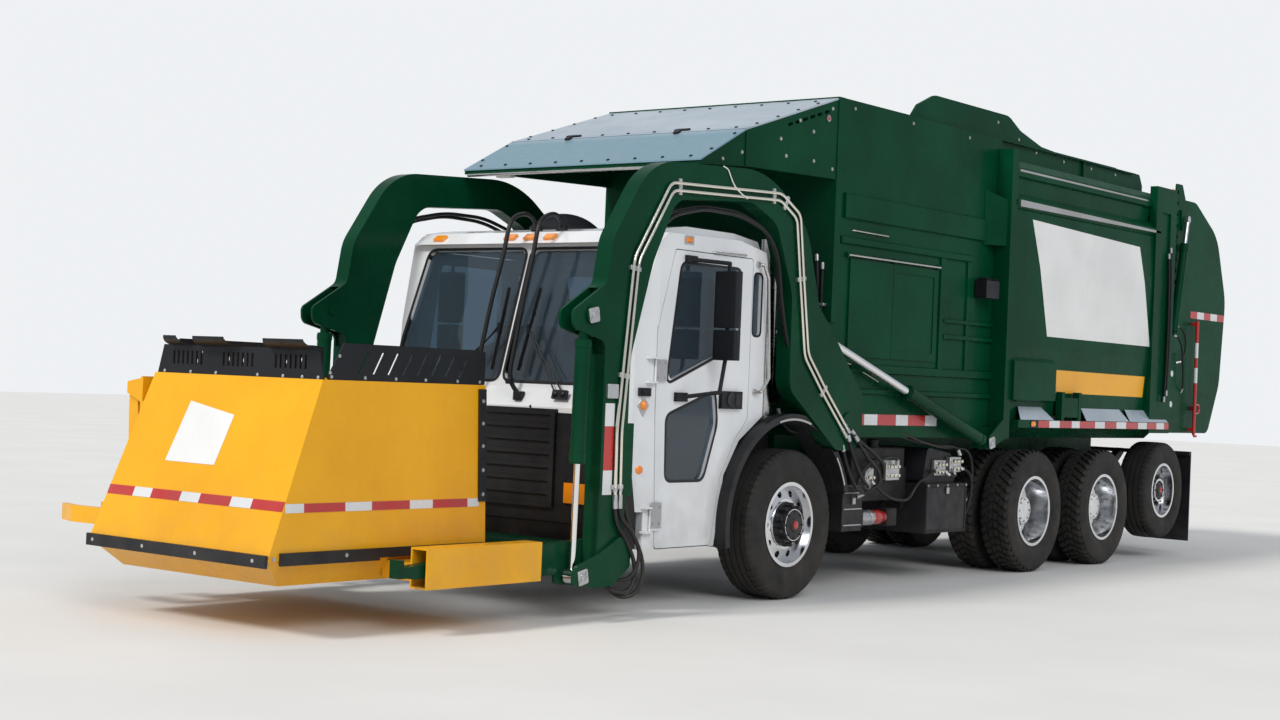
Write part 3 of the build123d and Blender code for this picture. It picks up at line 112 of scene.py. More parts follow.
SIDES = (("left", lambda surface: surface), ("right", flipped))
OUT = (1, 0, 0)
print("sides", [side for side, turn_over in SIDES], "and the left side faces", OUT)

# %% [markdown]
# A grid of points is the base of nearly every piece. Where its rows are closed rings, the
# first and the last ring are filled in, and it becomes a solid. A route is a line of points
# whose corners are rounded before a ring is carried along it.

# %% Grids, routes and tubes


def grid(points, wrap_rows=False, wrap_columns=False):
    """Four-cornered faces over a rows x columns grid of points."""
    rows, columns = points.shape[:2]
    r, c = np.meshgrid(np.arange(rows - (not wrap_rows)), np.arange(columns - (not wrap_columns)),
                       indexing="ij")
    r, c = r.ravel(), c.ravel()
    up, across = (r + 1) % rows, (c + 1) % columns
    faces = np.stack([r * columns + c, r * columns + across, up * columns + across, up * columns + c], 1)
    return points.reshape(-1, 3), [faces]


def solid(points):
    """A grid whose rows are closed rings, with its first and its last ring filled in."""
    surface, faces = grid(points, wrap_columns=True)
    ring = np.arange(points.shape[1])[None]
    return surface, faces + [ring[:, ::-1], len(surface) - points.shape[1] + ring]


def closed_sheet(points):
    """A grid whose columns are closed loops, with its first and its last column filled in."""
    rows, columns = points.shape[:2]
    surface, faces = grid(points, wrap_rows=True)
    loop = np.arange(rows)[None] * columns
    return surface, faces + [loop, loop[:, ::-1] + columns - 1]


def unit(v):
    """Vectors over their own lengths."""
    return v / np.maximum(np.linalg.norm(v, axis=-1, keepdims=True), 1e-12)


def bent(points, radius, steps=7):
    """A route whose corners are rounded: each corner p turns into the curve
    (1-t)^2 a + 2t(1-t) p + t^2 b, where a and b lie on its two runs, a radius away at most."""
    points = np.array(points, float)
    before, corner, after = points[:-2], points[1:-1], points[2:]
    back, ahead = before - corner, after - corner
    reach_back = np.minimum(radius, 0.49 * np.linalg.norm(back, axis=1))[:, None]
    reach_ahead = np.minimum(radius, 0.49 * np.linalg.norm(ahead, axis=1))[:, None]
    a = (corner + unit(back) * reach_back)[:, None]
    b = (corner + unit(ahead) * reach_ahead)[:, None]
    t = np.linspace(0, 1, steps)[None, :, None]
    curve = (1 - t) ** 2 * a + 2 * t * (1 - t) * corner[:, None] + t ** 2 * b
    return np.vstack([points[:1], curve.reshape(-1, 3), points[-1:]])


def sweep(route, ring, side=None):
    """A closed ring of (u, v) points carried along a route: u is the side direction less its
    share along the route, and v is tangent x u, so the ring stands square to the route."""
    route = np.array(route, float)
    ring = np.array(ring, float)
    tangent = unit(np.gradient(route, axis=0))
    if side is None:
        side = np.eye(3)[np.argmin(np.abs(tangent).max(0))]
    u = unit(side - tangent * (tangent @ np.array(side, float))[:, None])
    v = np.cross(tangent, u)
    return solid(route[:, None] + ring[None, :, :1] * u[:, None] + ring[None, :, 1:] * v[:, None])


def circle(radius, sides):
    """Points round a circle, against the clock."""
    angle = np.arange(sides) * 2 * np.pi / sides
    return np.stack([radius * np.cos(angle), radius * np.sin(angle)], 1)


def tube(points, radius, bend=0.06, sides=10, side=None):
    """A round tube along a route with rounded corners."""
    route = bent(points, bend) if len(points) > 2 else np.array(points, float)
    return sweep(route, circle(radius, sides), side)


print("a tube along 2 points has", len(tube([(0, 0, 0), (0, 0, 1)], 0.1)[0]), "points")

# %% [markdown]
# Round parts are profiles turned about an axis, blocks and plates are outlines pushed along
# a direction, and a bevel rounds their edges as a press or a mould does.

# %% Turned, pushed and bolted shapes


def lathe(profile, centre, sides=48, axis=0):
    """A profile of (along, radius) points turned about an axis through the centre:
    point = centre + along * axis + radius * (cos a * second + sin a * third)."""
    profile = np.array(profile, float)
    profile[:, 1] = np.maximum(profile[:, 1], 0.0005)
    angle = np.arange(sides) * 2 * np.pi / sides
    points = np.zeros((len(profile), sides, 3))
    points[..., axis] = profile[:, :1]
    points[..., (axis + 1) % 3] = profile[:, 1:] * np.cos(angle)
    points[..., (axis + 2) % 3] = profile[:, 1:] * np.sin(angle)
    surface, faces = solid(points + np.array(centre, float))
    rising = profile[-1, 0] > profile[0, 0]
    return surface, faces if rising else [f[:, ::-1] for f in faces]


def prism(outline, span, axis=0, round_by=0.0):
    """A flat outline pushed through a span along one axis. The outline is in the other two axes,
    in the order x, y, z without that axis. Its corners may be rounded."""
    outline = np.array(outline, float)
    if round_by:
        closed = np.vstack([outline[-1:], outline, outline[:1]])
        outline = bent(np.hstack([closed, np.zeros((len(closed), 1))]), round_by, 5)[1:-1, :2]
    x, y = outline.T
    turn = np.sum(x * np.roll(y, -1) - np.roll(x, -1) * y)
    if (turn > 0) == (axis == 1):
        outline = outline[::-1]
    others = [i for i in range(3) if i != axis]
    points = np.zeros((2, len(outline), 3))
    points[:, :, others] = outline
    points[:, :, axis] = np.sort(span)[:, None]
    return solid(points)


def box(x, y, z, round_by=0.0):
    """A block from its low and high values along each axis. Its edges along x may be rounded."""
    return prism([(y[0], z[0]), (y[1], z[0]), (y[1], z[1]), (y[0], z[1])], x, 0, round_by)


def against_clock(loop, outward):
    """A flat loop in the order that runs against the clock, seen from outside."""
    turn = np.cross(loop - loop[0], np.roll(loop, -1, axis=0) - loop[0]).sum(0)
    return loop[::-1] if turn @ outward < 0 else loop


def patch(outline, outward, thick, lift=0.0008):
    """A flat plate on any face: the outline is pushed along outward, from lift to lift + thick."""
    outline, outward = np.array(outline, float), unit(np.array(outward, float))
    outline = against_clock(outline, outward)
    return solid(np.stack([outline + outward * lift, outline + outward * (lift + thick)]))


def softened(made, width, segments=2):
    """Round a finished piece's edges with a bevel."""
    bevel = made.modifiers.new("rounded_edges", "BEVEL")
    bevel.width = width
    bevel.segments = segments
    bevel.limit_method = "ANGLE"
    bevel.angle_limit = math.radians(35)
    bevel.harden_normals = False
    return made


def studs(places, outward, profile, sides=6):
    """Many small turned pieces at once: point = place + radius * (cos a * side + sin a * up)
    + height * outward. The profile lists (radius, height) from the base to the top."""
    places = np.array(places, float).reshape(-1, 3)
    outward = unit(np.array(outward, float))
    side = unit(np.cross(outward, [0.3, 0.5, 0.81]))
    up = np.cross(outward, side)
    ring = circle(1, sides)
    profile = np.array(profile, float)
    profile[:, 0] = np.maximum(profile[:, 0], 0.0004)
    around = ring[None, :, :1] * side + ring[None, :, 1:] * up
    flat, faces = grid(profile[:, None, :1] * around + profile[:, None, 1:] * outward, wrap_columns=True)
    last = (len(profile) - 1) * sides
    ends = np.stack([np.arange(sides)[::-1], last + np.arange(sides)])
    points = (places[:, None] + flat[None]).reshape(-1, 3)
    shift = (np.arange(len(places)) * len(flat))[:, None, None]
    return points, [(faces[0][None] + shift).reshape(-1, 4), (ends[None] + shift).reshape(-1, sides)]


def heads(places, outward, radius, height, sides=6):
    """Bolt heads on thin washers, set at every place with their axis along outward."""
    level = [(1.25, 0), (1.25, 0.25), (1.0, 0.3), (1.0, 0.85), (0.82, 1.0)]
    return studs(places, outward, [(radius * r, height * h) for r, h in level], sides)


print("a block has", len(box((0, 1), (0, 1), (0, 1))[0]), "points")

# %% [markdown]
# A finish starts from one colour, and noise on Object coordinates makes it uneven as real
# paint, steel and rubber are. These helpers each add one node to a material.

# %% Nodes of a finish


def shader(name):
    """A new material with its main shader and its Object coordinates."""
    material = bpy.data.materials.new(name)
    material.use_nodes = True
    tree = material.node_tree
    main = tree.nodes["Principled BSDF"]
    place = tree.nodes.new("ShaderNodeTexCoord").outputs["Object"]
    return material, tree, main, place


def noise(tree, place, scale, stretch=(1, 1, 1), detail=4.0):
    """Noise from 0 to 1, finer with scale, and stretched along an axis by a small factor."""
    mapping = tree.nodes.new("ShaderNodeMapping")
    mapping.inputs["Scale"].default_value = stretch
    tree.links.new(place, mapping.inputs["Vector"])
    node = tree.nodes.new("ShaderNodeTexNoise")
    node.inputs["Scale"].default_value = scale
    node.inputs["Detail"].default_value = detail
    tree.links.new(mapping.outputs["Vector"], node.inputs["Vector"])
    return node.outputs["Fac"]


def ramp(tree, value, start, end, low=0.0, high=1.0):
    """Straight-line change of a value, held at both ends."""
    node = tree.nodes.new("ShaderNodeMapRange")
    for key, number in (("From Min", start), ("From Max", end), ("To Min", low), ("To Max", high)):
        node.inputs[key].default_value = number
    tree.links.new(value, node.inputs["Value"])
    return node.outputs["Result"]


def mixed(tree, share, first, second):
    """One colour mixed with another by a share. Each may be numbers or a socket."""
    node = tree.nodes.new("ShaderNodeMix")
    node.data_type = "RGBA"
    for label, value in (("A", first), ("B", second)):
        colour_socket = [s for s in node.inputs if s.name == label and s.type == "RGBA"][0]
        if isinstance(value, tuple):
            colour_socket.default_value = (*value, 1)
        else:
            tree.links.new(value, colour_socket)
    tree.links.new(share, node.inputs["Factor"])
    return [s for s in node.outputs if s.type == "RGBA"][0]


def maths(tree, operation, first, second):
    """One sum on two values. Each may be a number or a socket."""
    node = tree.nodes.new("ShaderNodeMath")
    node.operation = operation
    for socket, value in zip(node.inputs, (first, second)):
        if isinstance(value, (int, float)):
            socket.default_value = value
        else:
            tree.links.new(value, socket)
    return node.outputs[0]


def axes_of(tree, place):
    """The X, Y and Z of Object coordinates. Z is the height above the ground."""
    split = tree.nodes.new("ShaderNodeSeparateXYZ")
    tree.links.new(place, split.inputs[0])
    return split.outputs


print("helpers for noise, ramps, mixes and sums")

# %% [markdown]
# One recipe gives every opaque finish, so they all age in the same way. Road dust is added by
# height, because it gathers low down, and rain leaves streaks that run down the paint.

# %% One recipe for the finishes
DUST = (0.20, 0.17, 0.135)


def finish(name, colour, shade, rough, spread=0.08, metal=0.0, dust=0.25, grain=900.0, bump=0.02,
           coat=0.0, streak=0.0, dust_top=1.5, shine=0.5):
    """A finish of one material: patches between a colour and a shade, dust low down,
    roughness that wanders by spread, and a fine grain as bump."""
    material, tree, main, place = shader(name)
    patches = ramp(tree, noise(tree, place, 1.7), 0.35, 0.65)
    tone = mixed(tree, patches, colour, shade)
    if streak:
        runs = ramp(tree, noise(tree, place, 9.0, (1, 1, 0.07), 6.0), 0.55, 0.85, 0.0, streak)
        tone = mixed(tree, runs, tone, tuple(c * 0.55 for c in shade))
    if dust:
        low_down = ramp(tree, axes_of(tree, place)["Z"], dust_top, 0.25)
        gathered = maths(tree, "MULTIPLY", low_down,
                         ramp(tree, noise(tree, place, 6.0, detail=8.0), 0.3, 0.75))
        tone = mixed(tree, maths(tree, "MULTIPLY", gathered, dust), tone, DUST)
    tree.links.new(tone, main.inputs["Base Color"])
    wander = ramp(tree, noise(tree, place, 11.0), 0.3, 0.7, max(rough - spread, 0.02),
                  min(rough + spread, 1.0))
    tree.links.new(wander, main.inputs["Roughness"])
    main.inputs["Metallic"].default_value = metal
    main.inputs["Specular IOR Level"].default_value = shine
    main.inputs["Coat Weight"].default_value = coat
    main.inputs["Coat Roughness"].default_value = 0.06
    bumpy = tree.nodes.new("ShaderNodeBump")
    bumpy.inputs["Strength"].default_value = bump
    bumpy.inputs["Distance"].default_value = 0.002
    tree.links.new(noise(tree, place, grain, detail=2.0), bumpy.inputs["Height"])
    tree.links.new(bumpy.outputs["Normal"], main.inputs["Normal"])
    return material


def moulded_black(name):
    """Black moulded plastic, with a grain that breaks up its shine."""
    return finish(name, (0.008, 0.009, 0.012), (0.014, 0.015, 0.018), 0.42, 0.12, dust=0.14,
                  bump=0.25, grain=700, shine=0.25)


def pale_metal(name):
    """Pale sheet metal with wide, soft unevenness and streaks."""
    return finish(name, (0.50, 0.57, 0.63), (0.40, 0.47, 0.54), 0.38, 0.12, metal=0.35, dust=0.0,
                  bump=0.12, grain=60, streak=0.2)


black_plastic = moulded_black("moulded_black")
pale_sheet = pale_metal("pale_sheet")
green = finish("green_enamel", (0.0015, 0.054, 0.022), (0.001, 0.040, 0.016), 0.30, coat=0.02, bump=0.05,
               streak=0.25, dust=0.07, shine=0.06)
arm_green = finish("arm_green_enamel", (0.0015, 0.050, 0.021), (0.001, 0.036, 0.015), 0.28, coat=0.03,
                   bump=0.05, streak=0.2, dust=0.05, shine=0.08)
white = finish("cab_white", (0.78, 0.79, 0.80), (0.70, 0.72, 0.74), 0.22, 0.05, coat=0.6, streak=0.12,
               dust=0.35)
yellow = finish("can_yellow", (0.84, 0.41, 0.006), (0.76, 0.35, 0.005), 0.30, coat=0.12, streak=0.10,
                dust=0.20, dust_top=0.9, shine=0.3)
chassis_black = finish("chassis_black", (0.008, 0.008, 0.009), (0.014, 0.014, 0.014), 0.50, dust=0.14,
                       dust_top=1.8, bump=0.15, grain=300, shine=0.2)
gloss_black = finish("gloss_black", (0.012, 0.012, 0.014), (0.02, 0.02, 0.022), 0.42, dust=0.1, shine=0.35)
hose_rubber = finish("hose_rubber", (0.008, 0.008, 0.009), (0.014, 0.014, 0.014), 0.40, 0.1, dust=0.15,
                     bump=0.2, grain=500, shine=0.3)
tyre_rubber = finish("tyre_rubber", (0.014, 0.014, 0.014), (0.024, 0.023, 0.022), 0.70, 0.1, dust=0.13,
                     bump=0.35, grain=350, dust_top=1.3, shine=0.25)
alloy = finish("polished_alloy", (0.80, 0.81, 0.83), (0.68, 0.69, 0.71), 0.16, 0.08, metal=1.0, dust=0.25,
               bump=0.04, dust_top=1.1)
chrome = finish("chromed_rod", (0.86, 0.86, 0.87), (0.80, 0.80, 0.82), 0.07, 0.04, metal=1.0, dust=0.05,
                bump=0.01)
polished_pipe = finish("polished_pipe", (0.84, 0.80, 0.70), (0.74, 0.70, 0.62), 0.16, 0.08, metal=1.0,
                       dust=0.05, bump=0.02)
stainless = finish("stainless", (0.62, 0.61, 0.60), (0.52, 0.50, 0.47), 0.24, 0.1, metal=1.0, dust=0.2,
                   bump=0.08)
zinc = finish("zinc_plate", (0.60, 0.61, 0.62), (0.48, 0.48, 0.49), 0.36, 0.12, metal=0.9, dust=0.25,
              bump=0.1, grain=400)
sign_white = finish("sign_white", (0.80, 0.80, 0.79), (0.72, 0.72, 0.71), 0.35, dust=0.15)
banner_yellow = finish("banner_yellow", (0.88, 0.42, 0.01), (0.80, 0.36, 0.01), 0.35, dust=0.15)
tape_red = finish("tape_red", (0.52, 0.012, 0.012), (0.42, 0.01, 0.01), 0.25, coat=0.6, dust=0.2,
                  grain=1500, bump=0.3)
tape_white = finish("tape_white", (0.74, 0.75, 0.76), (0.64, 0.65, 0.66), 0.25, coat=0.6, dust=0.2,
                    grain=1500, bump=0.3)
amber = finish("amber_lens", (0.95, 0.30, 0.01), (0.80, 0.22, 0.01), 0.12, coat=0.8, dust=0.1)
red_lens = finish("red_lens", (0.50, 0.01, 0.01), (0.38, 0.01, 0.01), 0.14, coat=0.8, dust=0.1)
gold_chain = finish("gold_chain", (0.78, 0.52, 0.16), (0.60, 0.38, 0.10), 0.3, metal=1.0, dust=0.1)
seat_cloth = finish("seat_cloth", (0.035, 0.035, 0.038), (0.055, 0.055, 0.058), 0.85, dust=0.0, bump=0.5,
                    grain=600)
TAPES = (("red", "lamp", tape_red), ("white", "white", tape_white))
print("opaque finishes", len(bpy.data.materials))

# %% [markdown]
# Three finishes need more. Glass lets light through. The can's trim shows bolts that lie flush
# in its lowest strip, so they are drawn by the finish. The canopy's sheet carries a painted
# reflection: a darker, bluish tone low down.

# %% Glass and two finishes with a place in them


def pane_of_glass(name, tint):
    """Tinted glass: mostly clear, with a gloss that a faint smear makes uneven."""
    material, tree, main, place = shader(name)
    main.inputs["Base Color"].default_value = (*tint, 1)
    main.inputs["IOR"].default_value = 1.45
    main.inputs["Transmission Weight"].default_value = 0.92
    tree.links.new(ramp(tree, noise(tree, place, 5.0), 0.4, 0.8, 0.01, 0.08), main.inputs["Roughness"])
    return material


def base_tone(material):
    """What a second tone needs: the tree, the main shader, its present colour and the axes."""
    tree = material.node_tree
    main = tree.nodes["Principled BSDF"]
    tone = main.inputs["Base Color"].links[0].from_socket
    return tree, main, tone, axes_of(tree, tree.nodes.new("ShaderNodeTexCoord").outputs["Object"])


def with_flush_bolts(material, centres_x, z, radius, metal_tone):
    """Bolt heads that lie flush in a strip: within a radius of each centre (x, z), in the
    object's own coordinates, the colour and the metal of the finish change to steel."""
    tree, main, tone, axes = base_tone(material)
    rise = maths(tree, "SUBTRACT", axes["Z"], z)
    inside = 0.0
    for centre in centres_x:
        across = maths(tree, "SUBTRACT", axes["X"], centre)
        squares = [maths(tree, "MULTIPLY", part, part) for part in (across, rise)]
        far = maths(tree, "SQRT", maths(tree, "ADD", *squares), 0.0)
        inside = maths(tree, "MAXIMUM", inside, maths(tree, "LESS_THAN", far, radius))
    tree.links.new(mixed(tree, inside, tone, metal_tone), main.inputs["Base Color"])
    tree.links.new(inside, main.inputs["Metallic"])
    return material


def darker_below(material, painted_reflection_tone, low, high):
    """Below a height the finish takes a second tone, a painted reflection where it is used. It turns over
    between low and high.
    """
    tree, main, tone, axes = base_tone(material)
    tree.links.new(mixed(tree, ramp(tree, axes["Z"], low, high), painted_reflection_tone, tone),
                   main.inputs["Base Color"])
    return material


FLUSH_BOLTS_X, FLUSH_BOLTS_Z, FLUSH_BOLT_R = (-0.731, -0.267, 0.202, 0.686), 0.436, 0.011
# painted reflection: the canopy's sheet takes a darker, bluish tone below z 3.22 to 3.30, in place of the
# reflection on it
CANOPY_REFLECTION_TONE, CANOPY_TURNS = (0.20, 0.33, 0.40), (3.22, 3.30)
canopy_painted_reflection = darker_below(pale_metal("canopy_painted_reflection"), CANOPY_REFLECTION_TONE, *CANOPY_TURNS)
trim_black = with_flush_bolts(moulded_black("trim_black"), FLUSH_BOLTS_X, FLUSH_BOLTS_Z, FLUSH_BOLT_R,
                              (0.62, 0.63, 0.64))
glass = pane_of_glass("tinted_glass", (0.26, 0.36, 0.44))
print("materials", len(bpy.data.materials))

# %% [markdown]
# Every CAD node gets one of these finishes in place of its plain import colour. The node's
# mesh is left as it is, and only its material slots change.

# %% Finishes of the CAD nodes
NODE_FINISH = {
    "chassis_frame": chassis_black, "engine_block": chassis_black, "front_axle": chassis_black,
    "rear_axles": chassis_black, "side_boxes": black_plastic, "exhaust_stack": stainless,
    "roof_dome": black_plastic, "grab_rails": stainless,
    "cab_shell": white, "cab_glass": glass, "grille": black_plastic, "cab_lamps": amber,
    "cab_interior": seat_cloth, "mudguards": black_plastic, "load_body": green,
    "canopy_sides": green, "canopy_sheet": canopy_painted_reflection, "roof_guard": green, "side_shelves": green,
    "door_left": white, "door_right": white, "door_glass_left": glass, "door_glass_right": glass,
    "door_fittings_left": black_plastic, "door_fittings_right": black_plastic,
    "knuckle_left": chassis_black, "knuckle_right": chassis_black,
    "lift_arms": arm_green, "arm_barrels": arm_green, "arm_rods": chrome, "forks": arm_green,
    "can": yellow, "can_trim": trim_black, "fork_barrels": arm_green, "fork_rods": chrome,
    "cart_slide": yellow, "cart_lift": yellow, "top_door": green, "packer_panel": green,
    "tailgate": green, "tailgate_barrels": green, "tailgate_rods": chrome,
}
for name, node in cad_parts.items():
    if "tyre" in name:
        chosen = tyre_rubber
    elif "_rim" in name:
        chosen = alloy
    else:
        chosen = NODE_FINISH[name]
    node.data.materials.clear()
    node.data.materials.append(chosen)
print("CAD nodes finished", len(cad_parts))

# %% [markdown]
# The camera stands where the photograph was taken from. Its turn is worked out from a
# heading, a tilt and a small lean of the horizon, as a photographer would hold it.

# %% Camera and floor
EYE = np.array([8.835, -11.452, 1.496])
HEADING, TILT, LEAN = np.radians([38.271, -0.612, 2.358])
ahead = np.array([-math.sin(HEADING) * math.cos(TILT), math.cos(HEADING) * math.cos(TILT), -math.sin(TILT)])
level = np.array([math.cos(HEADING), math.sin(HEADING), 0.0])
upright = np.cross(level, ahead)
right = level * math.cos(LEAN) + upright * math.sin(LEAN)
top = upright * math.cos(LEAN) - level * math.sin(LEAN)
lens = bpy.data.cameras.new("photo_camera")
lens.lens = 54.75
lens.sensor_width = 36.0
lens.clip_end = 300.0
camera = bpy.data.objects.new("photo_camera", lens)
bpy.context.scene.collection.objects.link(camera)
turn = np.eye(4)
turn[:3, 0], turn[:3, 1], turn[:3, 2], turn[:3, 3] = right, top, -ahead, EYE + AXLE
camera.matrix_world = Matrix(turn.tolist())
bpy.context.scene.camera = camera
bpy.context.scene.view_settings.view_transform = "Standard"


def backdrop(name, colour):
    """A pale, rough floor finish with faint, wide patches."""
    material, tree, main, place = shader(name)
    mottled = mixed(tree, ramp(tree, noise(tree, place, 0.7), 0.3, 0.7), colour,
                    tuple(c * 0.94 for c in colour))
    tree.links.new(mottled, main.inputs["Base Color"])
    main.inputs["Roughness"].default_value = 0.85
    return material


FAR = 60.0
floor_surface, floor_faces = grid(np.array([[[-FAR, -FAR, 0], [FAR, -FAR, 0]],
                                            [[-FAR, FAR, 0], [FAR, FAR, 0]]]))
floor_mesh = bpy.data.meshes.new("floor")
floor_mesh.from_pydata(floor_surface.tolist(), [], floor_faces[0].tolist())
floor_mesh.materials.append(backdrop("pale_floor", (0.74, 0.73, 0.71)))
floor = bpy.data.objects.new("floor", floor_mesh)
bpy.context.scene.collection.objects.link(floor)
print("camera at", np.round(EYE + AXLE, 3))

# %% [markdown]
# The light is a pale studio: an even sky that lights the truck a little less than it shows to
# the camera, a broad key lamp from the photograph's own side, and a softer one from the side.

# %% Studio light
world = bpy.data.worlds.new("studio")
bpy.context.scene.world = world
world.use_nodes = True
sky = world.node_tree
background = sky.nodes["Background"]
background.inputs["Color"].default_value = (0.80, 0.84, 0.90, 1)
background.inputs["Strength"].default_value = 0.62
seen_sky = sky.nodes.new("ShaderNodeBackground")
seen_sky.inputs["Color"].default_value = (0.86, 0.88, 0.90, 1)
seen_sky.inputs["Strength"].default_value = 1.0
ray = sky.nodes.new("ShaderNodeLightPath")
choose = sky.nodes.new("ShaderNodeMixShader")
sky.links.new(ray.outputs["Is Camera Ray"], choose.inputs["Fac"])
sky.links.new(background.outputs[0], choose.inputs[1])
sky.links.new(seen_sky.outputs[0], choose.inputs[2])
sky.links.new(choose.outputs[0], sky.nodes["World Output"].inputs["Surface"])


def lamp(name, strength, angle, heading, tilt):
    """A distant lamp: heading is the side that it comes from, tilt its height, in degrees."""
    light = bpy.data.lights.new(name, "SUN")
    light.energy = strength
    light.angle = math.radians(angle)
    made = bpy.data.objects.new(name, light)
    made.rotation_euler = (math.radians(90 - tilt), 0, math.radians(heading))
    bpy.context.scene.collection.objects.link(made)
    return made


key = lamp("key_light", 2.0, 12, -12, 42)
key.data.color = (1.0, 0.97, 0.92)
lamp("side_light", 1.0, 30, 62, 35)
print("lamps", [light.name for light in bpy.data.lights])

# %% [markdown]
# The tyres are the parts of a truck that a viewer knows best, so their plain CAD rings are
# replaced. A tyre is one closed profile turned about the axle. Grooves round the tyre are steps
# in the profile, and the lugs are made by placing the columns exactly on the edges of each
# block, so that a coarse grid still gives crisp blocks.

# %% Tyres
FRONT_TYRE, DRIVE_TYRE, TAG_TYRE = (0.528, 0.310, 0.286), (0.522, 0.276, 0.286), (0.462, 0.300, 0.248)
FRONT_MIDDLE, DRIVE_MIDDLE, TWIN_STEP, TAG_MIDDLE = 1.065, 1.082, 0.330, 1.070
DRIVEN, TAG_Y, TAG_Z = (("drive_one", 3.743), ("drive_two", 5.116)), 6.434, 0.648
BLOCK_EDGES = np.array([0.02, 0.20, 0.40, 0.58, 0.63, 0.80, 0.97])
BLOCK_DEPTH = np.array([0.0, 0.0, 0.0, 0.0, 1.0, 1.0, 1.0])


def tread_line(half, grooves, depth, wall=0.003):
    """Across the tread: the x of every groove edge, and 1 where the groove's floor is."""
    x, floor_here = [-half], [0.0]
    for centre, width in grooves:
        x += [centre - width / 2, centre - width / 2 + wall, centre + width / 2 - wall, centre + width / 2]
        floor_here += [0.0, 1.0, 1.0, 0.0]
    return np.array(x + [half]), np.array(floor_here + [0.0]) * depth


def tyre_ring(middle, y, z, size, grooves, blocks, cut, slant, shoulder_cut):
    """One tyre: radius(row, angle) = profile radius - the deeper of groove and block pattern.

    The angle of a column is shifted by slant * |x| / radius, so the block edges run aslant."""
    radius, width, seat = size
    half, bead, height = width / 2, width / 2 - 0.030, radius - seat
    wall = bent([(bead, seat, 0), (bead + 0.006, seat + 0.10 * height, 0),
                 (half - 0.010, seat + 0.22 * height, 0),
                 (half, seat + 0.45 * height, 0), (half - 0.004, seat + 0.72 * height, 0),
                 (half - 0.010, seat + 0.90 * height, 0), (half - 0.034, radius - 0.004, 0)], 0.05,
                5)[:, :2]
    ring_at = seat + 0.26 * height
    wall[:, 0] += 0.0030 * np.exp(-((wall[:, 1] - ring_at) / 0.006) ** 2)
    x, floor_here = tread_line(half - 0.034, grooves, cut[0])
    crown = radius - 0.004 * (x / half) ** 2
    across_x = np.concatenate([-wall[:, 0], x[1:-1], wall[::-1, 0]])
    base = np.concatenate([wall[:, 1], crown[1:-1], wall[::-1, 1]])
    groove = np.concatenate([np.zeros(len(wall)), floor_here[1:-1], np.zeros(len(wall))])
    shoulder = np.clip((base - (radius - 0.045)) / 0.030, 0, 1)
    edge = np.abs(across_x) > half - 0.075
    block = np.where(edge, shoulder * shoulder_cut, cut[1]) * (shoulder > 0)
    angle = ((np.arange(blocks)[:, None] + BLOCK_EDGES[None]) * 2 * np.pi / blocks).ravel()
    pulse = np.tile(BLOCK_DEPTH, blocks)
    turned = angle[None] + (slant * np.abs(across_x) / radius * shoulder)[:, None]
    far = base[:, None] - np.maximum(groove[:, None], block[:, None] * pulse[None])
    points = np.stack([np.broadcast_to(across_x[:, None], far.shape) + middle,
                       y + far * np.cos(turned), z + far * np.sin(turned)], -1)
    return grid(points, wrap_rows=True, wrap_columns=True)


RIB_GROOVES = [(-0.075, 0.013), (-0.027, 0.012), (0.027, 0.012), (0.075, 0.013)]
LUG_GROOVES = [(-0.048, 0.012), (0.0, 0.010), (0.048, 0.012)]
front_ring = tyre_ring(FRONT_MIDDLE, 0.0, FRONT_TYRE[0], FRONT_TYRE, RIB_GROOVES, 60, (0.014, 0.0), 0.0,
                       0.006)
for side, turn_over in SIDES:
    piece(f"front_tyre_tread_{side}", turn_over(front_ring), f"front_wheel_{side[0]}", tyre_rubber,
          32, (f"front_tyre_{side}",))
    for name, y in DRIVEN:
        twins = [tyre_ring(DRIVE_MIDDLE - step, y, DRIVE_TYRE[0], DRIVE_TYRE, LUG_GROOVES, 44,
                           (0.018, 0.016), 0.7, 0.018)
                 for step in (0.0, TWIN_STEP)]
        piece(f"{name}_treads_{side}", [turn_over(s) for s in twins], f"{name}_{side[0]}",
              tyre_rubber, 32, (f"{name}_tyres_{side}",))
    tag_ring = tyre_ring(TAG_MIDDLE, TAG_Y, TAG_Z, TAG_TYRE, RIB_GROOVES, 52, (0.014, 0.0), 0.0, 0.006)
    piece(f"tag_tyre_tread_{side}", turn_over(tag_ring), f"tag_wheel_{side[0]}", tyre_rubber,
          32, (f"tag_tyre_{side}",))

# %% [markdown]
# A truck wheel hangs on ten nuts in a ring. The front and tag wheels wear long dark nut covers,
# and each hub has a bolted cap. Each nut is one small turned profile, set at all its places at once.

# %% Wheel nuts and hubs
NUT_COVER = [(0.0215, 0.0), (0.0215, 0.010), (0.0180, 0.014), (0.0165, 0.052), (0.0120, 0.060),
             (0.0, 0.062)]
BARE_NUT = [(0.0260, 0.0), (0.0260, 0.006), (0.0190, 0.008), (0.0185, 0.026), (0.0110, 0.029),
            (0.0100, 0.042), (0.0, 0.043)]
CAP_BOLT = [(0.0075, 0.0), (0.0075, 0.008), (0.0050, 0.010), (0.0, 0.010)]


def ring_of(count, radius, x, y, z, start=0.0):
    """Places spaced evenly round a circle that stands square to the axle."""
    angle = start + np.arange(count) * 2 * np.pi / count
    return np.stack([np.full(count, x), y + radius * np.cos(angle), z + radius * np.sin(angle)], 1)


def hub_shell(face, end, y, z, radius):
    """A dark hub: a drum with a stepped, rounded end, turned about the axle."""
    return lathe([(face, 0.0), (face, radius + 0.0015), (end - 0.010, radius + 0.0015),
                  (end + 0.0005, radius - 0.007),
                  (end + 0.0015, radius - 0.030), (end + 0.0015, 0.052), (end + 0.010, 0.046),
                  (end + 0.011, 0.0)],
                 (0.0, y, z), 40)


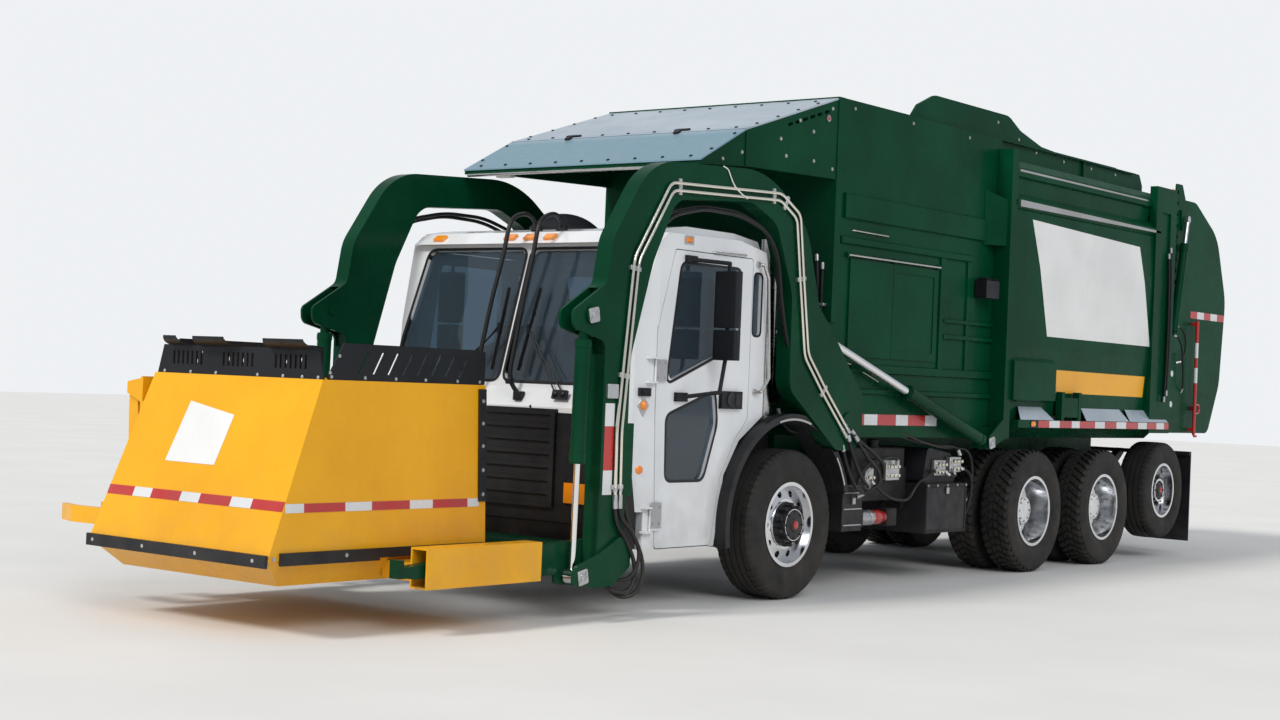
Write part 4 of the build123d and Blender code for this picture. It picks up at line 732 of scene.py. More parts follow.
NUTS, FIRST_NUT, CAP_BOLTS = 10, 0.31, 8
HUB_WINDOW = [(0.030, 0.0), (0.030, 0.004), (0.024, 0.009), (0.0, 0.011)]
WHEEL_TRIM = [
    # name, body, y, z, nut face, nut circle, hub face, hub end, hub radius
    ("front", "front_wheel", 0.0, FRONT_TYRE[0], 1.1665, 0.139, 1.1662, 1.2405, 0.113),
    ("tag", "tag_wheel", TAG_Y, TAG_Z, 1.0975, 0.128, 1.0972, 1.1655, 0.098),
]
for side, turn_over in SIDES:
    for name, body, y, z, nut_face, circle_r, hub_face, hub_end, hub_r in WHEEL_TRIM:
        wheel = f"{body}_{side[0]}"
        covers = studs(ring_of(NUTS, circle_r, nut_face, y, z, FIRST_NUT), OUT, NUT_COVER, 8)
        piece(f"{name}_nut_covers_{side}", turn_over(covers), wheel, gloss_black)
        hub = [hub_shell(hub_face, hub_end, y, z, hub_r),
               studs(ring_of(CAP_BOLTS, hub_r - 0.018, hub_end + 0.0010, y, z), OUT, CAP_BOLT)]
        piece(f"{name}_hub_{side}", [turn_over(s) for s in hub], wheel, gloss_black)
        centre = studs([(hub_end + 0.0105, y, z)], OUT, HUB_WINDOW, 28)
        piece(f"{name}_hub_window_{side}", turn_over(centre), wheel, red_lens)
    for name, y in DRIVEN:
        nuts = studs(ring_of(NUTS, 0.139, 0.9468, y, DRIVE_TYRE[0], FIRST_NUT), OUT, BARE_NUT)
        bolts = studs(ring_of(CAP_BOLTS, 0.094, 1.1122, y, DRIVE_TYRE[0]), OUT, CAP_BOLT)
        piece(f"{name}_nuts_{side}", [turn_over(nuts), turn_over(bolts)], f"{name}_{side[0]}",
              zinc)

# %% [markdown]
# The loader's oil runs along each arm in two polished pipes, held by clamps, and in black
# hoses round the inner edge of the arch and past the pivots. A pipe is a circle carried along a
# route with rounded corners. The two pipes share one route, and each is pushed sideways by half
# the spacing.

# %% Pipes on the arms
PIPE_R, PIPE_GAP, PIPE_X, ARM_FACE = 0.0115, 0.048, 1.2355, 1.219
QUARTER_TURN = np.array([[0.0, 1.0], [-1.0, 0.0]])
CORNERS = ((-1, -1), (1, -1), (1, 1), (-1, 1))
PIPE_ROUTE = np.array([(-1.990, 0.770), (-2.000, 1.190), (-1.967, 1.524), (-1.893, 2.262), (-1.555, 2.752),
                       (-0.320, 2.806), (-0.092, 2.688), (-0.022, 2.257), (0.075, 1.722), (0.345, 1.452),
                       (0.640, 1.185)])


def beside(route, distance):
    """A route moved sideways in its own plane: each point goes along the normal that halves
    its corner, by distance / cos(half the turn), so that the runs stay parallel."""
    step = unit(np.diff(route, axis=0))
    before, after = np.vstack([step[:1], step]), np.vstack([step, step[-1:]])
    normal = unit(before + after) @ QUARTER_TURN
    spread = distance / np.maximum((normal * (before @ QUARTER_TURN)).sum(1), 0.5)
    return route + normal * spread[:, None]


def at_x(x, route):
    """A route in y and z, stood at one x."""
    route = np.array(route, float)
    return np.column_stack([np.full(len(route), x), route])


pipe_routes = [beside(PIPE_ROUTE, offset) for offset in (-PIPE_GAP / 2, PIPE_GAP / 2)]
pipes = [tube(at_x(PIPE_X, route), PIPE_R, 0.05, 12, OUT) for route in pipe_routes]
piece("arm_pipes", both(pipes), "arms", polished_pipe)


def clamp_at(y, z, heading, long=0.030, wide=0.106, thick=0.021):
    """A pipe clamp: a block across both pipes, turned to lie square to their heading."""
    angle = math.radians(heading)
    ahead = np.array([math.cos(angle), math.sin(angle)])
    aside = np.array([-math.sin(angle), math.cos(angle)])
    corners = [np.array([y, z]) + a * ahead * long / 2 + b * aside * wide / 2 for a, b in CORNERS]
    return prism(corners, (ARM_FACE, ARM_FACE + thick), 0, 0.008)


CLAMPS = [(-1.967, 1.524, 84), (-1.899, 2.200, 84), (-1.470, 2.757, 3), (-0.400, 2.804, 3),
          (-0.250, 2.770, -28), (-0.022, 2.257, -80), (0.320, 1.476, -45), (-1.992, 0.830, 91)]
clamps = [clamp_at(*spot) for spot in CLAMPS]
bolts = heads([(1.240, y, z) for y, z, heading in CLAMPS], OUT, 0.008, 0.008)
softened(piece("arm_pipe_clamps", both(clamps), "arms", zinc), 0.002)
piece("arm_clamp_bolts", both(bolts), "arms", zinc)
ends = []
for route in pipe_routes:
    for first, second in ((route[0], route[1]), (route[-1], route[-2])):
        aim = unit(second - first)
        for start, stop, radius in ((-0.030, 0.012, 0.0185), (0.030, 0.055, 0.0165)):
            nut = at_x(PIPE_X, [first + aim * start, first + aim * stop])
            ends.append(tube(nut, radius, sides=6, side=OUT))
piece("arm_pipe_nuts", both(ends), "arms", zinc, 25)

# %% [markdown]
# Rubber hoses bend in wide, loose curves. Each is a tube along a route whose corners are
# rounded until almost nothing straight is left. Its ends carry swaged steel collars.

# %% Hoses on the arms
HOSE_R = 0.0135


def hose(points, radius=HOSE_R, bend=0.12, sides=10):
    """A hose and its two collars: the collars are short, wider tubes over its first and last 5 cm."""
    points = np.array(points, float)
    first, last = unit(points[1] - points[0]), unit(points[-2] - points[-1])
    collars = [tube([points[0], points[0] + first * 0.05], radius * 1.3, sides=sides),
               tube([points[-1], points[-1] + last * 0.05], radius * 1.3, sides=sides)]
    return tube(points, radius, bend, sides), collars


def hose_set(name, routes, body, radius=HOSE_R, bend=0.12, collar_name=""):
    """Hoses along several routes, on both sides, and their collars as a second piece."""
    made = [hose(route, radius, bend) for route in routes]
    piece(name, both([line for line, collars in made]), body, hose_rubber)
    collars = [collar for line, collars in made for collar in collars]
    piece(collar_name or name[:-1] + "_collars", both(collars), body, zinc)


CRANK_HOSES = [
    [(1.2355, -2.014, 0.745), (1.237, -2.000, 0.600), (1.252, -1.900, 0.500), (1.262, -1.800, 0.310),
     (1.255, -1.855, 0.160), (1.190, -1.960, 0.170), (1.080, -1.990, 0.260), (1.040, -1.960, 0.330)],
    [(1.2355, -1.966, 0.745), (1.237, -1.962, 0.640), (1.262, -1.870, 0.560), (1.290, -1.760, 0.360),
     (1.285, -1.790, 0.165), (1.210, -1.900, 0.120), (1.080, -1.930, 0.230), (1.030, -1.915, 0.320)],
    [(1.195, -1.900, 0.900), (1.205, -1.885, 0.700), (1.240, -1.840, 0.540), (1.285, -1.790, 0.420),
     (1.270, -1.840, 0.260), (1.180, -1.925, 0.225), (1.050, -1.940, 0.380)],
]
ARCH_HOSES = [
    [(1.165, -1.845, 1.900), (1.165, -1.800, 2.180), (1.165, -1.700, 2.400), (1.165, -1.520, 2.590),
     (1.165, -1.150, 2.668), (1.165, -0.740, 2.668), (1.165, -0.400, 2.585), (1.165, -0.245, 2.420),
     (1.165, -0.190, 2.100), (1.165, -0.085, 1.800), (1.165, 0.200, 1.400)],
    [(1.195, -1.840, 1.860), (1.195, -1.790, 2.160), (1.195, -1.690, 2.385), (1.195, -1.510, 2.570),
     (1.195, -1.140, 2.648), (1.195, -0.730, 2.640), (1.195, -0.410, 2.560), (1.195, -0.262, 2.400),
     (1.195, -0.205, 2.080), (1.195, -0.110, 1.790), (1.195, 0.180, 1.370)],
]
PIVOT_HOSES = [
    [(1.237, 0.665, 1.165), (1.245, 0.720, 1.020), (1.245, 0.860, 0.850), (1.225, 0.990, 0.780),
     (1.170, 1.080, 0.765)],
    [(1.237, 0.700, 1.200), (1.250, 0.820, 1.110), (1.262, 1.020, 1.020), (1.262, 1.150, 0.940),
     (1.245, 1.170, 0.820), (1.170, 1.080, 0.740)],
    [(1.205, 0.640, 1.090), (1.215, 0.700, 0.930), (1.215, 0.820, 0.780), (1.205, 0.950, 0.735),
     (1.150, 1.050, 0.720)],
    [(1.255, 0.730, 1.160), (1.275, 0.880, 1.000), (1.275, 1.060, 0.900), (1.255, 1.110, 0.800),
     (1.200, 1.040, 0.740), (1.150, 0.960, 0.700)],
]
hose_set("crank_hoses", CRANK_HOSES, "arms")
hose_set("arch_hoses", ARCH_HOSES, "arms")
hose_set("pivot_hoses", PIVOT_HOSES, "chassis")

# %% [markdown]
# Reflective tape, silver pin retainers, a small sensor box and the rub plate finish the front
# legs. The tape is a strip 2 mm proud of the steel, cut into red and white lengths.

# %% Tape and retainers on the arms
LEG_TAPE_Y, LEG_TAPE_X = (-2.124, -2.034), (1.2192, 1.2210)
LEG_TAPE = [(1.349, 1.207, "white"), (1.207, 0.932, "red"), (0.932, 0.781, "white")]
for colour, slot, coat_of in TAPES:
    strips = [box(LEG_TAPE_X, LEG_TAPE_Y, (low_z, high_z))
              for high_z, low_z, shade in LEG_TAPE if shade == colour]
    piece(f"arm_tape_{colour}", both(strips), "arms", coat_of)
sensor = box((1.2185, 1.2420), (-2.130, -2.026), (1.380, 1.470), 0.010)
softened(piece("arm_sensor_box", both(sensor), "arms", zinc), 0.003)
PIN_END = [(0.024, 0.0), (0.024, 0.006), (0.016, 0.009), (0.014, 0.004), (0.0, 0.004)]


def retainer(y, z, x, half=0.046, lean=12):
    """A square plate over a pin's end, its corners rounded, with the pin's dimple and two bolts."""
    angle = math.radians(lean) + np.array([45, 135, 225, 315]) * math.pi / 180
    corners = np.stack([y + half * 1.414 * np.cos(angle), z + half * 1.414 * np.sin(angle)], 1)
    plate = prism(corners, (x, x + 0.010), 0, 0.014)
    bolts = [(x + 0.0095, y + way * 0.028, z + way * 0.026) for way in (1, -1)]
    return plate, [studs([(x + 0.009, y, z)], OUT, PIN_END, 24), heads(bolts, OUT, 0.008, 0.008)]


PINS = [("upper_pin", -2.290, 1.887, 1.2335, "arms"), ("crank_pin", -2.312, 0.285, 1.2455, "forks"),
        ("base_pin", 2.900, 1.106, 1.2195, "chassis")]
for name, y, z, x, body in PINS:
    plate, details = retainer(y, z, x)
    softened(piece(f"{name}_plates", both(plate), body, zinc), 0.002)
    piece(f"{name}_details", both(details), body, zinc)
rub_plates = box((1.2000, ARM_FACE), (-1.950, -1.830), (0.768, 1.227))
softened(piece("arm_rub_plates", both(rub_plates), "arms", arm_green), 0.003)
tie = tube([(1.221, -0.988, 2.944), (1.226, -0.940, 2.930), (1.230, -0.900, 2.860), (1.246, -0.875, 2.810),
            (1.254, -0.800, 2.770), (1.250, -0.740, 2.752)], 0.0045, 0.03, 8)
piece("arm_ties", both(tie), "arms", sign_white)

# %% [markdown]
# The carry can is bent from yellow sheet. Its walls lean, so tapes and signs are flat plates
# laid on a leaning plane: the side wall is x = 0.789 - 0.05 (z - 0.46), and the front wall is
# y = -4.306 + 0.3946 (z - 0.73).

# %% Tapes and sign on the can
SIDE_LEAN, FRONT_LEAN = 0.05, 0.3946
SIDE_OUT, FRONT_OUT = (1, 0, SIDE_LEAN), (0, -1, FRONT_LEAN)


def one_shape(*values):
    """Numbers and lists as arrays of one shape."""
    return np.broadcast_arrays(*[np.array(value, float) for value in values])


def on_side(y, z):
    """Points on the can's left wall."""
    y, z = one_shape(y, z)
    return np.stack([0.789 - SIDE_LEAN * (z - 0.46), y, z], -1)


def on_front(x, z):
    """Points on the can's front wall."""
    x, z = one_shape(x, z)
    return np.stack([x, -4.306 + FRONT_LEAN * (z - 0.73), z], -1)


TAPE_THICK = 0.0012
SIDE_TAPE_Z, FRONT_TAPE_Z = (0.695, 0.695, 0.745, 0.745), (0.702, 0.702, 0.756, 0.756)
SIDE_TAPE = [(-4.300, -4.165, "white"), (-4.165, -3.856, "red"), (-3.856, -3.651, "white"),
             (-3.651, -3.347, "red"), (-3.347, -3.157, "white"), (-3.157, -2.859, "red"),
             (-2.859, -2.760, "white")]
FRONT_TAPE = [(-0.772, -0.535, "red"), (-0.535, -0.371, "white"), (-0.371, -0.107, "red"),
              (-0.107, 0.062, "white"), (0.062, 0.331, "red"), (0.331, 0.509, "white"),
              (0.509, 0.772, "red")]
for colour, slot, coat_of in TAPES:
    strips = both([patch(on_side([a, b, b, a], SIDE_TAPE_Z), SIDE_OUT, TAPE_THICK)
                   for a, b, shade in SIDE_TAPE if shade == colour])
    strips += [patch(on_front([a, b, b, a], FRONT_TAPE_Z), FRONT_OUT, TAPE_THICK)
               for a, b, shade in FRONT_TAPE if shade == colour]
    piece(f"can_tape_{colour}", strips, "forks", coat_of)
sign = patch(on_front([-0.314, 0.108, 0.085, -0.355], [1.271, 1.205, 0.917, 0.919]), FRONT_OUT, 0.0015)
piece("can_sign", sign, "forks", sign_white)

# %% [markdown]
# Rubber strips are bolted along the can's rear edges, and the guard's foot is bolted to the
# top rail. Three curled flaps lean over the guard, so that light rubbish stays in. A flap is a
# sheet whose section is an arc: it rises from the guard and curls forward.

# %% Rubber, bolts and flaps on the can
LOW_BOLTS_Y = [-4.395, -3.862, -3.312, -2.760]
REAR_BOLTS_Z = [0.769, 0.915, 1.061, 1.197, 1.333]
rear_strip = patch(on_side([-2.768, -2.703, -2.703, -2.768], [0.725, 0.725, 1.405, 1.405]), SIDE_OUT, 0.012)
softened(piece("can_rear_strips", both(rear_strip), "forks", black_plastic), 0.003)
can_bolts = both([heads([(0.8105, y, 0.452) for y in LOW_BOLTS_Y], OUT, 0.011, 0.009),
                  heads(on_side(-2.735, REAR_BOLTS_Z) + [0.0125, 0, 0], OUT, 0.011, 0.009)])
rail_bolts = [(0.7305, y, 1.448) for y in (-3.960, -3.702, -3.457, -3.212, -2.941, -2.745)]
rail_bolts += [(0.7305, -3.972, 1.470), (0.7305, -3.905, 1.566)]
foot_bolts = [(x, -4.0205, 1.441) for x in (-0.662, -0.420, -0.190, 0.179, 0.397, 0.558, 0.690)]
can_bolts += both([heads(rail_bolts, OUT, 0.009, 0.007)]) + [heads(foot_bolts, (0, -1, 0), 0.009, 0.007)]
piece("can_bolts", can_bolts, "forks", zinc)


def curled_flap(low_x, high_x, y, z, out=0.115, rise=0.050, thick=0.006, columns=13):
    """A sheet curled along an arc: y falls as out * sin a and z rises as rise * (1 - cos a),
    and its front corners are cut by drawing the ends in as it goes out."""
    a = np.linspace(0, np.pi / 2, 9)
    arc = np.stack([y - out * np.sin(a), z + rise * (1 - np.cos(a))], 1)
    inset = 0.035 * np.sin(a) ** 2
    across = np.linspace(0, 1, columns)
    x = (low_x + inset)[:, None] + (high_x - low_x - 2 * inset)[:, None] * across
    upper = np.stack([x, np.repeat(arc[:, :1], columns, 1), np.repeat(arc[:, 1:], columns, 1)], -1)
    return closed_sheet(np.concatenate([upper, upper[::-1] - [0, 0, thick]]))


FLAPS = [(-0.330, 0.020, 1.602), (0.290, 0.700, 1.600), (-0.600, -0.410, 1.602)]
flaps = [curled_flap(low_x, high_x, -4.008, z) for low_x, high_x, z in FLAPS]
piece("can_flaps", flaps, "forks", black_plastic)

# %% [markdown]
# A gold chain lies on the fork pocket, ready to tie the can to the fork. Each link is a long
# oval of round wire, and every second link is turned a quarter about the chain.

# %% Chain on the pocket


def chain(points, link=0.040, wire=0.0042, oval=0.55):
    """Oval links along a route: link k sits at the route's distance k * 0.72 * link, its long
    axis on the route, and it is turned 90 degrees from the last one. Oval is its width over
    its length."""
    route = bent(points, 0.05)
    run = np.concatenate([[0], np.cumsum(np.linalg.norm(np.diff(route, axis=0), axis=1))])
    middle = np.arange(int(run[-1] / (0.72 * link))) * 0.72 * link + link / 2
    centre = np.stack([np.interp(middle, run, route[:, i]) for i in range(3)], 1)
    ahead = unit(np.stack([np.interp(middle + 0.01, run, route[:, i]) for i in range(3)], 1) - centre
                 + [0, 1e-6, 0])
    side = unit(np.cross(ahead, [0.0, 0.0, 1.0]))
    up = np.cross(side, ahead)
    odd = (np.arange(len(centre)) % 2)[:, None] * np.pi / 2 + 0.7
    across, lift = np.cos(odd) * side + np.sin(odd) * up, np.cos(odd) * up - np.sin(odd) * side
    a, b = np.linspace(0, 2 * np.pi, 16, endpoint=False), np.linspace(0, 2 * np.pi, 8, endpoint=False)
    along = (link / 2 - wire) * np.cos(a)
    out = oval * (link / 2 - wire) * np.sin(a)
    along, out = along[None, :, None], out[None, :, None]
    ring = centre[:, None] + along * ahead[:, None] + out * across[:, None]
    away = unit(along * oval * ahead[:, None] + out / oval * across[:, None])
    cosine, sine = np.cos(b)[None, None, :, None], np.sin(b)[None, None, :, None]
    points = ring[:, :, None] + wire * (cosine * away[:, :, None] + sine * lift[:, None, None])
    one, faces = grid(points[0], wrap_rows=True, wrap_columns=True)
    shift = (np.arange(len(centre)) * len(one))[:, None, None]
    return points.reshape(-1, 3), [(faces[0][None] + shift).reshape(-1, 4)]


CHAIN = [(0.905, -2.720, 0.448), (0.960, -2.760, 0.470), (1.020, -2.720, 0.462), (1.062, -2.790, 0.462),
         (1.095, -2.700, 0.462), (1.125, -2.640, 0.462), (1.100, -2.590, 0.470)]
piece("can_chains", both(chain(CHAIN)), "forks", gold_chain)

# %% [markdown]
# The windscreen is two flat panes in one leaning plane, y = -1.749 + 0.27625 (z - 1.5) at the
# shell's face. Black rubber frames each pane. Rubber is soft, so its frame has rounded corners,
# and each frame is one closed band round the window's outline.

# %% Rubber round the cab's glass
SCREEN_LEAN = 0.27625
SCREEN_OUT = (0, -1, SCREEN_LEAN)


def frame_on(outline, outward, wide, thick, lift=0.0008, round_by=0.05):
    """A closed band of one width round an outline with rounded corners, such as a window's
    rubber: an inner and an outer loop at two heights make four rows of points."""
    outline, outward = np.array(outline, float), unit(np.array(outward, float))
    closed = np.vstack([outline[-1:], outline, outline[:1]])
    loop = against_clock(bent(closed, round_by, 6)[1:-1], outward)
    tangent = unit(np.roll(loop, -1, axis=0) - np.roll(loop, 1, axis=0))
    away = np.cross(tangent, outward)
    rows = [loop, loop + away * wide, loop + away * wide + outward * thick, loop + outward * thick]
    return grid(np.stack(rows) + outward * lift, wrap_rows=True, wrap_columns=True)


def on_screen(x, z, off=0.0):
    """Points on the windscreen's face, a distance off it along its normal."""
    x, z = one_shape(x, z)
    return np.stack([x, -1.749 + SCREEN_LEAN * (z - 1.5), z], -1) + off * unit(np.array(SCREEN_OUT, float))


def beside_cab(y, z, x=1.1205):
    """Points on the cab's left side."""
    y, z = one_shape(y, z)
    return np.stack([np.full(y.shape, x), y, z], -1)


PANE = [(0.028, 1.468), (0.985, 1.468), (1.005, 1.714), (0.940, 2.357), (0.028, 2.357)]
screen_rubber = both(frame_on(on_screen(*np.transpose(PANE)), SCREEN_OUT, 0.020, 0.034, -0.029, 0.06))
softened(piece("windscreen_rubber", screen_rubber, "chassis", hose_rubber), 0.002)
WINDOWS = {
    "upper": [(-1.262, 2.277), (-1.376, 1.494), (-0.842, 1.690), (-0.600, 1.760), (-0.600, 2.277)],
    "lower": [(-1.368, 1.272), (-0.850, 1.439), (-0.815, 1.228), (-0.952, 0.857), (-1.352, 0.857)],
    "rear": [(-0.430, 2.263), (-0.345, 2.263), (-0.345, 1.845), (-0.430, 1.845)],
}
for side, turn_over in SIDES:
    bands = [frame_on(beside_cab(*np.transpose(WINDOWS[which])), OUT, 0.020, 0.006, -0.004, 0.05)
             for which in ("upper", "lower")]
    door_rubber = piece(f"door_rubber_{side}", [turn_over(band) for band in bands], f"door_{side[0]}",
                        hose_rubber)
    softened(door_rubber, 0.002)
rear_rubber = frame_on(beside_cab(*np.transpose(WINDOWS["rear"])), OUT, 0.016, 0.006, -0.004, 0.03)
softened(piece("rear_glass_rubber", both(rear_rubber), "chassis", hose_rubber), 0.002)

# %% [markdown]
# Each wiper has a blade that rests on the glass and two parallel arms, which keep the blade
# upright as it sweeps. The arms turn on a box on the cowl. The blade is a slim spine with a
# rubber lip and five saddles.

# %% Wipers


def between(start, end, wide, thick, outward):
    """A flat bar from one point to another, wide across and thick along outward."""
    start, end, outward = np.array(start, float), np.array(end, float), unit(np.array(outward, float))
    across = np.cross(unit(end - start), outward) * wide / 2
    return patch([start - across, end - across, end + across, start + across], outward, thick, -thick / 2)


wiper_parts, wiper_rods = [], []
WIPERS = [
    # x at the blade's foot and top, the elbow (x, z), and the two feet of its arms
    (0.172, 0.206, (0.190, 1.795), ((0.562, 1.372), (0.628, 1.372))),
    (-0.066, -0.078, (-0.072, 1.800), ((-0.430, 1.372), (-0.496, 1.372))),
]
ARM_CAP = [(0.020, -0.012), (0.020, 0.008), (0.013, 0.013), (0.0, 0.013)]
for low_x, high_x, elbow, feet in WIPERS:
    bottom, top = on_screen(low_x, 1.525, 0.030), on_screen(high_x, 2.085, 0.030)
    wiper_parts.append(between(bottom, top, 0.010, 0.012, SCREEN_OUT))
    wiper_parts.append(between(bottom, top, 0.026, 0.003, SCREEN_OUT))
    wiper_parts.append(between(bottom - [0, 0.012, 0], top - [0, 0.012, 0], 0.006, 0.014, SCREEN_OUT))
    for share in (0.08, 0.3, 0.5, 0.7, 0.92):
        spot = bottom + (top - bottom) * share
        wiper_parts.append(between(spot - [0, 0.003, 0.018], spot + [0, -0.003, 0.018], 0.018, 0.020,
                                   SCREEN_OUT))
    hub = on_screen(*elbow, 0.045)
    wiper_parts.append(between(hub - [0, 0, 0.035], hub + [0, 0, 0.035], 0.024, 0.022, SCREEN_OUT))
    for index, foot in enumerate(feet):
        start = on_screen(*foot, 0.055)
        bow = start + (hub - start) * 0.5 + [0, -0.006, 0.004]
        stop = hub + [0.010 * (2 * index - 1), 0, 0.015]
        wiper_rods.append(tube([start, bow, stop], 0.0058, 0.3, 8))
    low_foot, high_foot = np.array(feet)
    middle = (low_foot + high_foot) / 2
    motor_x = middle[0] + np.array([-0.060, 0.060, 0.060, -0.060])
    motor_z = middle[1] + np.array([-0.030, -0.030, 0.028, 0.028])
    wiper_parts.append(patch(on_screen(motor_x, motor_z, 0.036), SCREEN_OUT, 0.026))
    wiper_rods += [studs([on_screen(*foot, 0.062)], SCREEN_OUT, ARM_CAP, 20) for foot in feet]
softened(piece("wiper_blades", wiper_parts, "chassis", black_plastic), 0.0012)
piece("wiper_arms", wiper_rods, "chassis", black_plastic)

# %% [markdown]
# Two slim black tubes stand before the windscreen. They lean away from the glass as they rise,
# and curl back over the roof's front edge. Their feet sit in clamps on the cowl, and a rubber
# boot closes the roof round each end.

# %% Bent tubes before the windscreen
TUBE_ROUTES = [
    [(-0.165, -1.815, 1.360), (-0.135, -1.868, 1.450), (-0.085, -1.780, 2.020), (-0.048, -1.722, 2.320),
     (-0.046, -1.675, 2.560), (-0.060, -1.520, 2.612), (-0.080, -1.400, 2.590), (-0.084, -1.350, 2.503)],
    [(0.232, -1.815, 1.360), (0.170, -1.868, 1.470), (0.195, -1.780, 2.000), (0.217, -1.722, 2.310),
     (0.214, -1.675, 2.545), (0.190, -1.520, 2.606), (0.155, -1.400, 2.595), (0.140, -1.345, 2.503)],
]
screen_tubes = [tube(route, 0.0155, 0.11, 14) for route in TUBE_ROUTES]
piece("screen_tubes", screen_tubes, "chassis", hose_rubber)
tube_feet = [box((x - 0.034, x + 0.034), (-1.850, -1.800), (1.335, 1.395)) for x in (-0.165, 0.232)]
tube_feet += [box((x - 0.022, x + 0.022), (-1.882, -1.838), (1.440, 1.478)) for x in (-0.140, 0.176)]
softened(piece("screen_tube_feet", tube_feet, "chassis", black_plastic), 0.006, 3)
BOOT = [(0.046, 0.0), (0.046, 0.008), (0.034, 0.016), (0.026, 0.040), (0.0158, 0.046)]
boots = [studs([(x, y, 2.4975)], (0, 0.18, 1), BOOT, 28) for x, y in ((-0.084, -1.350), (0.140, -1.345))]
piece("screen_tube_boots", boots, "chassis", hose_rubber)

# %% [markdown]
# A square amber lamp sits on the roof's side, and a lamp on a diamond foot and a round
# reflector sit on the front corner. A lens is a shallow dome: its height falls with the square
# of the distance from its middle.

# %% Lamps and small fittings of the cab


def facing(outward):
    """Three unit vectors of a face: outward, level along the face, and up it."""
    outward = unit(np.array(outward, float))
    side = unit(np.cross([0.0, 0.0, 1.0], outward))
    return outward, side, np.cross(outward, side)


def lens_dome(centre, outward, half_wide, half_tall, height, power=4.0, rings=7, sides=28):
    """A lens with a rounded square rim: |u / a|^p + |v / b|^p = 1, and height * (1 - r^2) over it."""
    outward, side, up = facing(outward)
    angle = np.arange(sides) * 2 * np.pi / sides
    reach = (np.abs(np.cos(angle)) ** power + np.abs(np.sin(angle)) ** power) ** (-1 / power)
    u, v = half_wide * reach * np.cos(angle), half_tall * reach * np.sin(angle)
    share = np.concatenate([[1.0], np.linspace(1.0, 0.02, rings)])
    lift = np.concatenate([[0.0], 0.35 * height + 0.65 * height * (1 - share[1:] ** 2)])
    rim = u[None, :, None] * side + v[None, :, None] * up
    return solid(np.array(centre, float) + share[:, None, None] * rim + lift[:, None, None] * outward)


def lamp_frame(centre, outward, half_wide, half_tall, depth, wall=0.008):
    """A base plate round a lens, flat on the body."""
    outward, side, up = facing(outward)
    across, rise = side * (half_wide + wall), up * (half_tall + wall)
    corners = [np.array(centre, float) + a * across + b * rise for a, b in CORNERS]
    return patch(corners, outward, depth, -0.002)


CORNER_OUT = (0.94, -0.34, 0)
amber_lenses = both([lens_dome((1.121, -1.203, 2.437), OUT, 0.040, 0.018, 0.018),
                     lens_dome((1.091, -1.580, 1.337), CORNER_OUT, 0.022, 0.030, 0.022, 2.6)])
piece("cab_side_lamps", amber_lenses, "chassis", amber)
lamp_bases = both([lamp_frame((1.120, -1.203, 2.437), OUT, 0.042, 0.020, 0.008)])
DIAMOND = np.array([[0, 0, 0.072], [0.016, 0.040, 0], [0, 0, -0.072], [-0.016, -0.040, 0]])
diamond = np.array([(1.087, -1.580, 1.337)]) + DIAMOND
lamp_bases += both(patch(diamond, CORNER_OUT, 0.009, -0.003))
softened(piece("cab_lamp_bases", lamp_bases, "chassis", zinc), 0.0015)
reflector = studs([(1.0815, -1.589, 0.922)], CORNER_OUT,
                  [(0.028, -0.004), (0.028, 0.004), (0.022, 0.008), (0.0, 0.009)], 32)
piece("corner_reflectors", both(reflector), "chassis", amber)
COWL_BOLTS = [(0.360, 1.300), (0.362, 1.255), (0.362, 1.215), (0.480, 1.218), (-0.36, 1.30), (-0.36, 1.215),
              (0.88, 1.30), (-0.88, 1.30)]
cowl_studs = heads([(x, -1.8505, z) for x, z in COWL_BOLTS], (0, -1, 0), 0.008, 0.006)
piece("cowl_bolts", cowl_studs, "chassis", black_plastic)

# %% [markdown]
# The body's side wall is bent sheet. Its section runs from x = 1.150 at z = 1.30 through 1.195
# at 1.90 and 1.2155 at 2.60 to 1.200 at 3.05, so a banner on it is a sheet that follows those
# bends. The banners stay blank.

# %% Banners on the body


WALL_Z, WALL_X = [1.30, 1.90, 2.60, 3.05], [1.150, 1.195, 1.2155, 1.200]


def on_wall(y, z, off=0.0):
    """Points on the body's left wall, moved out by off: x is read off the bent section."""
    y, z = one_shape(y, z)
    return np.stack([np.interp(z, WALL_Z, WALL_X) + off, y, z], -1)


def wall_sheet(corners, off=0.0015, thick=0.0012, rows=24, columns=16):
    """A sheet between four corners (y, z), given round it from its top front corner, laid on
    the wall: p(s, t) is the straight mix of the corners, and its back is thick nearer the wall."""
    a, b, c, d = np.array(corners, float)
    t, s = np.linspace(0, 1, rows)[:, None, None], np.linspace(0, 1, columns)[None, :, None]
    flat = (1 - t) * ((1 - s) * a + s * b) + t * ((1 - s) * d + s * c)
    y, z = flat[..., 0], flat[..., 1]
    return closed_sheet(np.concatenate([on_wall(y, z, off), on_wall(y, z, off + thick)[::-1]]))


WHITE_BANNER = [(3.510, 2.998), (5.685, 2.937), (6.000, 2.017), (3.863, 2.021)]
YELLOW_BANNER = [(4.039, 1.739), (5.950, 1.731), (5.947, 1.535), (4.036, 1.541)]
piece("white_banners", both(wall_sheet(WHITE_BANNER)), "chassis", sign_white)
piece("yellow_banners", both(wall_sheet(YELLOW_BANNER)), "chassis", banner_yellow)

# %% [markdown]
# Red and white tape runs along the hopper's foot and the shelf's edge. Bright sheet covers lean
# from the wall down to the shelf. Stainless strips along the body's rails are painted highlights:
# they stand in for the light that the green rails' edges catch.

# %% Tapes, covers and painted highlight strips of the body
HOPPER_TAPE = [0.954, 1.149, 1.338, 1.613, 1.795, 2.062, 2.243]
SHELF_TAPE = [3.663, 3.869, 4.067, 4.302, 4.459, 4.773, 4.973, 5.221, 5.429, 5.695, 5.889, 6.110, 6.286,
              6.392]


